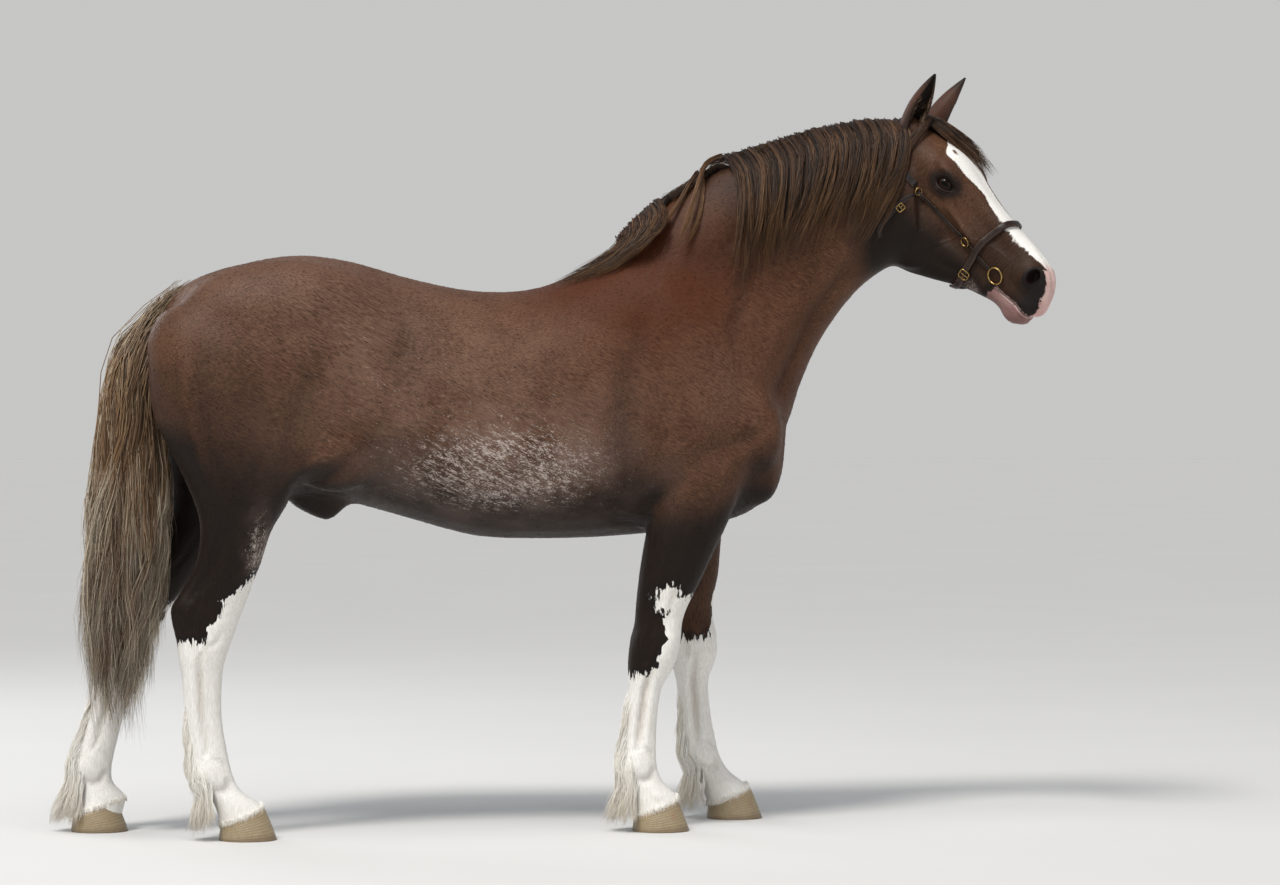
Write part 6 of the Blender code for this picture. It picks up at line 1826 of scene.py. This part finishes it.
# Where it lies: points along, out of and beside the face
CHEEK_BUCKLE = (0.146, -0.090, 0.085)
CHEEK_RING = (0.336, -0.079, 0.070)
BIT_RING = (0.455, -0.061, 0.045)
THROAT_BUCKLE = (0.160, -0.150, 0.084)
CHIN_BUCKLE = (0.398, -0.128, 0.050)

leather_grain, grain_in, grain_out = new_group("leather_grain", [("Scale", 900.0)], ["Pores", "Wear"])
tree = leather_grain
where = object_place(tree)
grain_scale = {"Vector": where, "Scale": grain_in.outputs["Scale"]}
cells = node(tree, "ShaderNodeTexVoronoi", grain_scale, feature="SMOOTH_F1")
tree.links.new(cells.outputs["Distance"], grain_out.inputs["Pores"])
worn = noise(tree, where, 55.0, 5.0, 0.65)
tree.links.new(worn, grain_out.inputs["Wear"])


def leather(name, dark, light, edge):
    """Bridle leather: fine grain, a waxed gloss, and paler wear along its edges."""
    made, tree, shader = new_material(name, Specular_IOR_Level=0.32, Coat_Weight=0.05, Coat_Roughness=0.30)
    grain = grouped_node(tree, leather_grain, Scale=900.0)
    colour = mixed(tree, grain["Wear"], dark, light)
    worn_edge = times(tree, kept_value(tree, "strap_edge"), stepped(tree, grain["Wear"], 0.35, 0.6))
    colour = mixed(tree, times(tree, worn_edge, 0.7), colour, edge)
    feed(tree, shader, "Base Color", colour)
    feed(tree, shader, "Roughness", plus(tree, 0.30, times(tree, grain["Wear"], 0.22)))
    bumped(tree, shader, grain["Pores"], 0.35, 0.0004)
    return made


strap_leather = leather("strap_leather", linear(13, 9, 7), linear(30, 19, 14), linear(58, 40, 29))
nose_leather = leather("nose_leather", linear(22, 13, 10), linear(44, 27, 20), linear(70, 48, 35))

thread, tree, shader = new_material("waxed_thread", Roughness=0.6)
where = object_place(tree)
twist = noise(tree, where, 900.0)
feed(tree, shader, "Base Color", mixed(tree, twist, linear(58, 44, 30), linear(98, 78, 54)))

brass, tree, shader = new_material("brass", Metallic=1.0)
where = object_place(tree)
tarnish = noise(tree, where, 160.0, 4.0)
dulled = stepped(tree, tarnish, 0.45, 0.70)
feed(tree, shader, "Base Color", mixed(tree, dulled, linear(178, 148, 92), linear(104, 80, 48)))
feed(tree, shader, "Roughness", plus(tree, 0.20, times(tree, tarnish, 0.30)))
bumped(tree, shader, tarnish, 0.15, 0.0003)


def along_path(points, count, closed=False):
    """Evenly set points on a smooth curve through the given ones."""
    points = [Vector(point) for point in points]
    if closed:
        points = points[-2:] + points + points[:3]
    fine = smooth_rows(points, 24)
    if closed:
        fine = fine[48:-48]
    run = np.concatenate([[0], np.cumsum(np.linalg.norm(np.diff(fine, axis=0), axis=1))])
    wanted = np.linspace(0, run[-1], count, endpoint=not closed)
    return [Vector([np.interp(place, run, fine[:, n]) for n in range(3)]) for place in wanted]


def laid_strap(points, closed=False, trim=(0.0, 0.0), lift=0.0024):
    """Points, ways out and ways across for a strap that lies on the hide along a path."""
    path = along_path(points, 400, closed)
    if not closed:
        start, end = path[0], path[-1]
        path = [p for p in path if (p - start).length >= trim[0] and (p - end).length >= trim[1]]
    length = sum((b - a).length for a, b in zip(path, path[1:]))
    count = max(8, int(length / 0.006))
    path = [path[round(i * (len(path) - 1) / (count - (0 if closed else 1)))] for i in range(count)]
    found = [hide_tree.find_nearest(point) for point in path]
    spots = np.array([place for place, _, _, _ in found])
    ways = np.array([normal for _, normal, _, _ in found])
    for _ in range(16):
        for values in (spots, ways):
            before, after = np.roll(values, 1, axis=0), np.roll(values, -1, axis=0)
            if not closed:
                before[0], after[-1] = 2 * values[0] - values[1], 2 * values[-1] - values[-2]
            values[:] = (before + 2 * values + after) / 4
    spots = spots + unit(ways) * lift
    for i in range(count):
        place, normal, _, _ = hide_tree.find_nearest(Vector(spots[i]))
        height = (Vector(spots[i]) - place).dot(normal)
        if height < lift:
            spots[i] += np.array(normal) * (lift - height)
    ahead = np.roll(spots, -1, axis=0) - np.roll(spots, 1, axis=0)
    if not closed:
        ahead[0], ahead[-1] = spots[1] - spots[0], spots[-1] - spots[-2]
    ahead = unit(ahead)
    ways = unit(ways - ahead * np.einsum("ij,ij->i", ways, ahead)[:, None])
    return spots, ways, np.cross(ahead, ways), ahead


def band(shape, laid, width, thickness, closed=False, square=0.42):
    """A flat strap with rounded edges along laid points."""
    rows = []
    for spot_place, side_way in zip(laid[0], laid[2]):
        half = side_way * width / 2
        rows.append((*(spot_place + half), *(spot_place - half), thickness / 2, 0.0, square))
    tube(shape, rows, 14, 1, closed)


def made_of(shape, name, material, *nodes, edges=None, slot="leather"):
    """Finishes a piece of the headcollar."""
    piece = finished(shape, name)
    if edges is not None:
        (spots, _, across, _), width = edges
        points = read_points(piece.data)
        nearest = np.array([np.argmin(((spots - point) ** 2).sum(axis=1)) for point in points])
        apart = np.abs(np.einsum("ij,ij->i", points - spots[nearest], across[nearest]))
        write_values(piece.data, {"strap_edge": eased((apart / (width / 2) - 0.62) / 0.3)})
    placed(piece, material)
    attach(piece, "root")
    if nodes:
        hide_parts(*nodes)
    return piece


STITCH_HALF_SIZES = (0.0016, 0.0005, 0.0004, 1.0)


def stitches(name, laid, width, inset, lift, pitch=0.0046):
    """Two rows of stitches along a strap, each a short rounded bar of thread."""
    spots, ways, across, ahead = laid
    run = np.concatenate([[0], np.cumsum(np.linalg.norm(np.diff(spots, axis=0), axis=1))])
    shape = bmesh.new()
    for place in np.arange(pitch, run[-1] - pitch, pitch):
        spot_place, way, side_way, on = (
            np.array([np.interp(place, run, values[:, n]) for n in range(3)])
            for values in (spots, ways, across, ahead)
        )
        for side in (-1, 1):
            middle = Vector(spot_place + side_way * side * (width / 2 - inset) + way * lift)
            axes = Matrix((Vector(on), Vector(side_way), Vector(way))).transposed()
            turned = Matrix.Translation(middle) @ axes.to_4x4() @ Matrix.Diagonal(STITCH_HALF_SIZES)
            bmesh.ops.create_icosphere(shape, subdivisions=1, radius=1.0, matrix=turned)
    return made_of(shape, name, thread)


def ring_on_hide(place, radius, wire_size):
    """The path of a ring that lies on the hide, and the way out of it."""
    _, normal, _, _ = hide_tree.find_nearest(place)
    for axis in (ALONG_FACE, OUT_OF_FACE):
        for reach in (-radius, radius):
            normal = normal + hide_tree.find_nearest(place + axis * reach)[1]
    normal = normal.normalized()
    along = (ALONG_FACE - normal * ALONG_FACE.dot(normal)).normalized()
    across = normal.cross(along)
    centre = hide_tree.find_nearest(place)[0]
    turns = [2 * math.pi * k / 40 for k in range(40)]
    path = [centre + (along * math.cos(turn) + across * math.sin(turn)) * radius for turn in turns]
    low = min((point - hide_tree.find_nearest(point)[0]).dot(normal) for point in path)
    path = [point + normal * (wire_size / 2 + 0.0012 - low) for point in path]
    return path, normal


def cast_ring(name, place, radius, wire_size, node_name):
    path, normal = ring_on_hide(place, radius, wire_size)
    shape = bmesh.new()
    wire(shape, path, [wire_size / 2] * len(path), 14, True, [normal] * len(path))
    return made_of(shape, name, brass, node_name, slot="brass")


def buckle(name, place, ahead, size, lift):
    """A square brass buckle with rounded corners, its bar and its tongue."""
    centre, normal, _, _ = hide_tree.find_nearest(place)
    ahead = (ahead - normal * ahead.dot(normal)).normalized()
    across = normal.cross(ahead)
    centre = centre + normal * lift
    length, width, wire_size = size
    path = []
    for k in range(36):
        turn = 2 * math.pi * k / 36
        u = math.copysign(abs(math.cos(turn)) ** 0.45, math.cos(turn)) * length / 2
        v = math.copysign(abs(math.sin(turn)) ** 0.45, math.sin(turn)) * width / 2
        path.append(centre + ahead * u + across * v)
    shape = bmesh.new()
    wire(shape, path, [wire_size / 2] * len(path), 10, True, [normal] * len(path))
    bar = [centre - across * width / 2 * 0.96, centre + across * width / 2 * 0.96]
    wire(shape, [bar[0], centre, bar[1]], [wire_size * 0.36] * 3, 8, False, [normal] * 3)
    tongue = [
        centre, centre + ahead * length * 0.28 + normal * wire_size * 0.5,
        centre + ahead * length * 0.56 + normal * wire_size * 0.35,
    ]
    wire(shape, tongue, [wire_size * 0.34, wire_size * 0.34, wire_size * 0.24], 8, False, [normal] * 3)
    return made_of(shape, name, brass, slot="brass")


def keeper(name, laid, share, width, height):
    """A narrow loop of leather round a strap."""
    spots, ways, across, ahead = laid
    i = int(share * (len(spots) - 1))
    shape = bmesh.new()
    path = []
    for k in range(24):
        turn = 2 * math.pi * k / 24
        u = math.copysign(abs(math.cos(turn)) ** 0.4, math.cos(turn)) * (width / 2 + 0.0012)
        v = math.copysign(abs(math.sin(turn)) ** 0.5, math.sin(turn)) * height
        path.append(spots[i] + across[i] * u + ways[i] * v)
    half = ahead[i] * 0.0036
    rows = [(*(point + half), *(point - half), 0.0007, 0.0, 0.5) for point in path]
    tube(shape, rows, 8, 1, True)
    return made_of(shape, name, strap_leather)


for word, side in (("right", -1), ("left", 1)):
    cast_ring(f"ring_at_cheek_{word}", sided(CHEEK_RING, side), 0.0125, 0.0034, f"cheek_ring_{word}")
    cast_ring(f"ring_at_bit_{word}", sided(BIT_RING, side), 0.0215, 0.0048, f"bit_ring_{word}")
    cast_ring(f"ring_at_top_{word}", sided(CHEEK_BUCKLE, side), 0.0100, 0.0030, f"cheek_buckle_{word}")
    straps = (
        ("cheek_piece", (CHEEK_BUCKLE, (0.236, -0.083, 0.085), CHEEK_RING),
         0.011, (0.0090, 0.0110), f"cheek_strap_{word}", 0.42),
        ("bit_piece", (CHEEK_RING, (0.395, -0.070, 0.058), BIT_RING),
         0.011, (0.0110, 0.0190), f"bit_strap_{word}", 0.55),
    )
    for name, points, width, trim, node_name, keeper_share in straps:
        laid = laid_strap([sided(point, side) for point in points], trim=trim)
        shape = bmesh.new()
        band(shape, laid, width, 0.0026)
        made_of(shape, f"{name}_{word}", strap_leather, node_name, edges=(laid, width))
        stitches(f"{name}_stitches_{word}", laid, width, 0.0016, 0.0014)
        keeper(f"{name}_keeper_{word}", laid, keeper_share, width, 0.0024)
    for name, place, run, size, lift in (
        ("throat_buckle", THROAT_BUCKLE, OUT_OF_FACE, (0.020, 0.017, 0.0028), 0.0052),
        ("chin_buckle", CHIN_BUCKLE, OUT_OF_FACE * -0.9 + ALONG_FACE * 0.2, (0.025, 0.026, 0.0030), 0.0115),
    ):
        buckle(f"{name}_{word}", sided(place, side), run, size, lift)

crown = [
    sided(CHEEK_BUCKLE, -1), on_head(0.080, -0.085, -0.095), on_head(0.010, -0.060, -0.095),
    on_head(-0.030, -0.020, -0.050), on_head(-0.036, 0.020, 0.0), on_head(-0.030, -0.020, 0.050),
    on_head(0.010, -0.060, 0.095), on_head(0.080, -0.085, 0.095), sided(CHEEK_BUCKLE, 1),
]
laid = laid_strap(crown, trim=(0.009, 0.009))
shape = bmesh.new()
band(shape, laid, 0.020, 0.0028)
made_of(shape, "headpiece", strap_leather, "crownpiece", edges=(laid, 0.020))
stitches("headpiece_stitches", laid, 0.020, 0.0018, 0.0015)

nose = [
    on_head(0.372, 0.060, 0.0), on_head(0.368, 0.030, -0.050), on_head(0.372, -0.040, -0.070),
    on_head(0.388, -0.105, -0.060), on_head(0.402, -0.160, -0.034), on_head(0.402, -0.220, 0.0),
    on_head(0.402, -0.160, 0.034), on_head(0.388, -0.105, 0.060), on_head(0.372, -0.040, 0.070),
    on_head(0.368, 0.030, 0.050),
]
laid = laid_strap(nose, closed=True, lift=0.0058)
shape = bmesh.new()
band(shape, laid, 0.0185, 0.0068, True, 0.62)
made_of(shape, "rounded_noseband", nose_leather, "noseband", edges=(laid, 0.0185))
stitches("noseband_stitches", laid, 0.0185, 0.0030, 0.0030)

throat = [
    sided(CHEEK_BUCKLE, -1), on_head(0.150, -0.130, -0.090), on_head(0.150, -0.190, -0.075),
    on_head(0.135, -0.262, -0.045), on_head(0.130, -0.292, 0.0), on_head(0.135, -0.262, 0.045),
    on_head(0.150, -0.190, 0.075), on_head(0.150, -0.130, 0.090), sided(CHEEK_BUCKLE, 1),
]
laid = laid_strap(throat, trim=(0.009, 0.009))
shape = bmesh.new()
band(shape, laid, 0.013, 0.0026)
made_of(shape, "throat_strap", strap_leather, edges=(laid, 0.013))
stitches("throat_strap_stitches", laid, 0.013, 0.0016, 0.0014)
keeper("throat_strap_keeper", laid, 0.12, 0.013, 0.0024)

# ---------------------------------------------------------------------------
# The tufts of the short coat: small flat points of hair in the hide's own colours, sown
# over every side of it, and smallest on the face and the feet.

TUFTS = 36000
TUFT_LENGTH = {"body": 0.0095, "leg": 0.0070, "face": 0.0034}
TUFT_WIDTH = 0.17
TUFT_RISE = math.radians(9)

draw = np.random.default_rng(91)
hide.data.calc_loop_triangles()
thirds = np.empty(len(hide.data.loop_triangles) * 3, np.int32)
hide.data.loop_triangles.foreach_get("vertices", thirds)
thirds = thirds.reshape(-1, 3)
first, second, third = (hide_points[thirds[:, n]] for n in range(3))
areas = np.linalg.norm(np.cross(second - first, third - first), axis=1) / 2
face_share = hide_marks["face_lie"][thirds[:, 0]]
near_bare = np.maximum(hide_marks["bare"], hide_marks["crease"])[thirds[:, 0]]
wanted = areas * (1 + 1.2 * face_share) * (near_bare < 0.3) * (hide_marks["pink"][thirds[:, 0]] < -0.01)
wanted = wanted * (first[:, 2] > CORONET_HEIGHT + 0.02)
chosen = draw.choice(len(thirds), TUFTS, p=wanted / wanted.sum())
shares = draw.dirichlet((1, 1, 1), TUFTS)


def between(values):
    """What values on the hide's corners come to at the roots of the tufts."""
    return np.einsum("ij,ij...->i...", shares, values[thirds[chosen]])


roots = between(hide_points)
ways = unit(between(hide_ways))
on_leg, on_face = between(hide_marks["leg_lie"])[:, None], between(hide_marks["face_lie"])[:, None]
lie = np.array((-0.86, 0.0, -0.50)) * (1 - on_leg) + np.array((0.0, 0.0, -1.0)) * on_leg
lie = lie * (1 - on_face) + np.array(ALONG_FACE) * on_face + draw.normal(size=(TUFTS, 3)) * 0.14
lie = unit(lie - ways * np.einsum("ij,ij->i", lie, ways)[:, None])
across = np.cross(lie, ways)
length = TUFT_LENGTH["body"] * (1 - on_leg) + TUFT_LENGTH["leg"] * on_leg
length = length * (1 - on_face) + TUFT_LENGTH["face"] * on_face
length = length * draw.uniform(0.7, 1.15, (TUFTS, 1))
half = length * TUFT_WIDTH / 2
low = roots - ways * 0.0006
tip = roots + (lie * math.cos(TUFT_RISE) + ways * math.sin(TUFT_RISE)) * length
corners = np.stack([low - across * half, low + across * half, low + ways * half + lie * half, tip], axis=1)
starts = (np.arange(TUFTS) * 4)[:, None, None]
tris = (np.array([(1, 0, 2), (0, 3, 2), (3, 1, 2), (0, 1, 3)])[None] + starts).reshape(-1, 3)
marks = {name: np.repeat(between(numbers), 4) for name, numbers in hide_marks.items()}
quads = np.empty((0, 4), int)
tufts = mesh_of_many("tufts_of_coat", corners.reshape(-1, 3), quads, tris, marks, roots, 4, coat)
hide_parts("torso")

hide.data.transform(Matrix.Translation(STANCE))
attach(hide, "root")
FLESH_NODES = ["head", "neck", "torso"]
for word in ("left", "right"):
    FLESH_NODES += [f"forearm_{word}", f"gaskin_{word}", f"cannon_front_{word}", f"cannon_hind_{word}"]
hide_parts(*FLESH_NODES)

# ---------------------------------------------------------------------------
# The studio: a plain pale floor under a pale surround, a broad soft light overhead, a
# softer one from the camera's side, and the camera level with the girth, as in the photo.

floor_shape = bmesh.new()
bmesh.ops.create_circle(floor_shape, cap_ends=True, segments=96, radius=45.0)
floor = finished(floor_shape, "floor", smooth=False)
paper, tree, shader = new_material("floor_paper", Roughness=0.85, Specular_IOR_Level=0.2)
where = object_place(tree)
cloud = noise(tree, where, 1.3, 3.0)
feed(tree, shader, "Base Color", mixed(tree, cloud, linear(212, 211, 209), linear(217, 216, 214)))
floor.data.materials.append(paper)

surround = bpy.data.worlds.new("surround")
surround.use_nodes = True
tree = surround.node_tree
way_out = node(tree, "ShaderNodeTexCoord").outputs["Generated"]
sky_way = node(tree, "ShaderNodeSeparateXYZ", {"Vector": way_out})
high = stepped(tree, maths(tree, "ABSOLUTE", sky_way.outputs["Z"]), 0.08, 0.40)
sky = mixed(tree, high, (0.566, 0.566, 0.561, 1.0), (0.31, 0.325, 0.35, 1.0))
feed(tree, tree.nodes["Background"], "Color", sky)
bpy.context.scene.world = surround


def aimed(place, way):
    """Where a lamp stands that shines along a way."""
    return Matrix.Translation(place) @ way.to_track_quat("-Z", "Y").to_matrix().to_4x4()


def soft_light(name, place, target, size, watts, colour):
    """A large square light that looks at a point."""
    made = bpy.data.objects.new(name, bpy.data.lights.new(name, "AREA"))
    made.data.shape = "RECTANGLE"
    made.data.size, made.data.size_y = size
    made.data.energy = watts
    made.data.color = colour
    made.matrix_world = aimed(place, Vector(target) - Vector(place))
    bpy.context.scene.collection.objects.link(made)


soft_light("overhead", (-1.2, -1.6, 5.0), (0.0, 0.0, 1.1), (3.6, 2.8), 110, (1.0, 0.985, 0.96))
soft_light("camera_side", (3.8, -6.0, 2.4), (0.1, 0.0, 1.0), (3.0, 2.4), 60, (1.0, 0.97, 0.94))
soft_light("far_side", (-3.5, 4.6, 3.4), (0.0, 0.0, 1.1), (3.0, 2.4), 90, (0.93, 0.96, 1.0))

# A broad even light from high on the left keeps the far floor as pale as the surround
daylight = bpy.data.objects.new("daylight", bpy.data.lights.new("daylight", "SUN"))
daylight.data.energy = 2.10
daylight.data.angle = math.radians(14)
daylight.data.color = (1.0, 0.98, 0.95)
daylight.matrix_world = aimed((-3, -3, 6), Vector((0.52, 0.62, -1.05)))
bpy.context.scene.collection.objects.link(daylight)
bpy.context.scene.view_settings.view_transform = "Standard"
bpy.context.scene.view_settings.look = "None"

# The camera: 12 m off, 12 degrees behind square to the side, looking down by a degree
CAMERA_TURN = math.radians(-12)
CAMERA_DISTANCE = 12.0
CAMERA_HEIGHT = 1.21
PIXELS_WIDE = 1280
FOCUS_IN_PIXELS = 4620
CAMERA_DIP = math.atan(82.5 / FOCUS_IN_PIXELS)
into_view = Vector((-math.sin(CAMERA_TURN), math.cos(CAMERA_TURN), 0.0))
camera = bpy.data.objects.new("camera", bpy.data.cameras.new("camera"))
bpy.context.scene.collection.objects.link(camera)
camera.location = Vector((0.246, 0.0, CAMERA_HEIGHT)) - into_view * CAMERA_DISTANCE + STANCE
look = into_view * math.cos(CAMERA_DIP) - UP * math.sin(CAMERA_DIP)
camera.rotation_euler = look.to_track_quat("-Z", "Y").to_euler()
camera.data.sensor_width = 36.0
camera.data.lens = camera.data.sensor_width * FOCUS_IN_PIXELS / PIXELS_WIDE
camera.data.clip_end = 200.0
bpy.context.scene.camera = camera
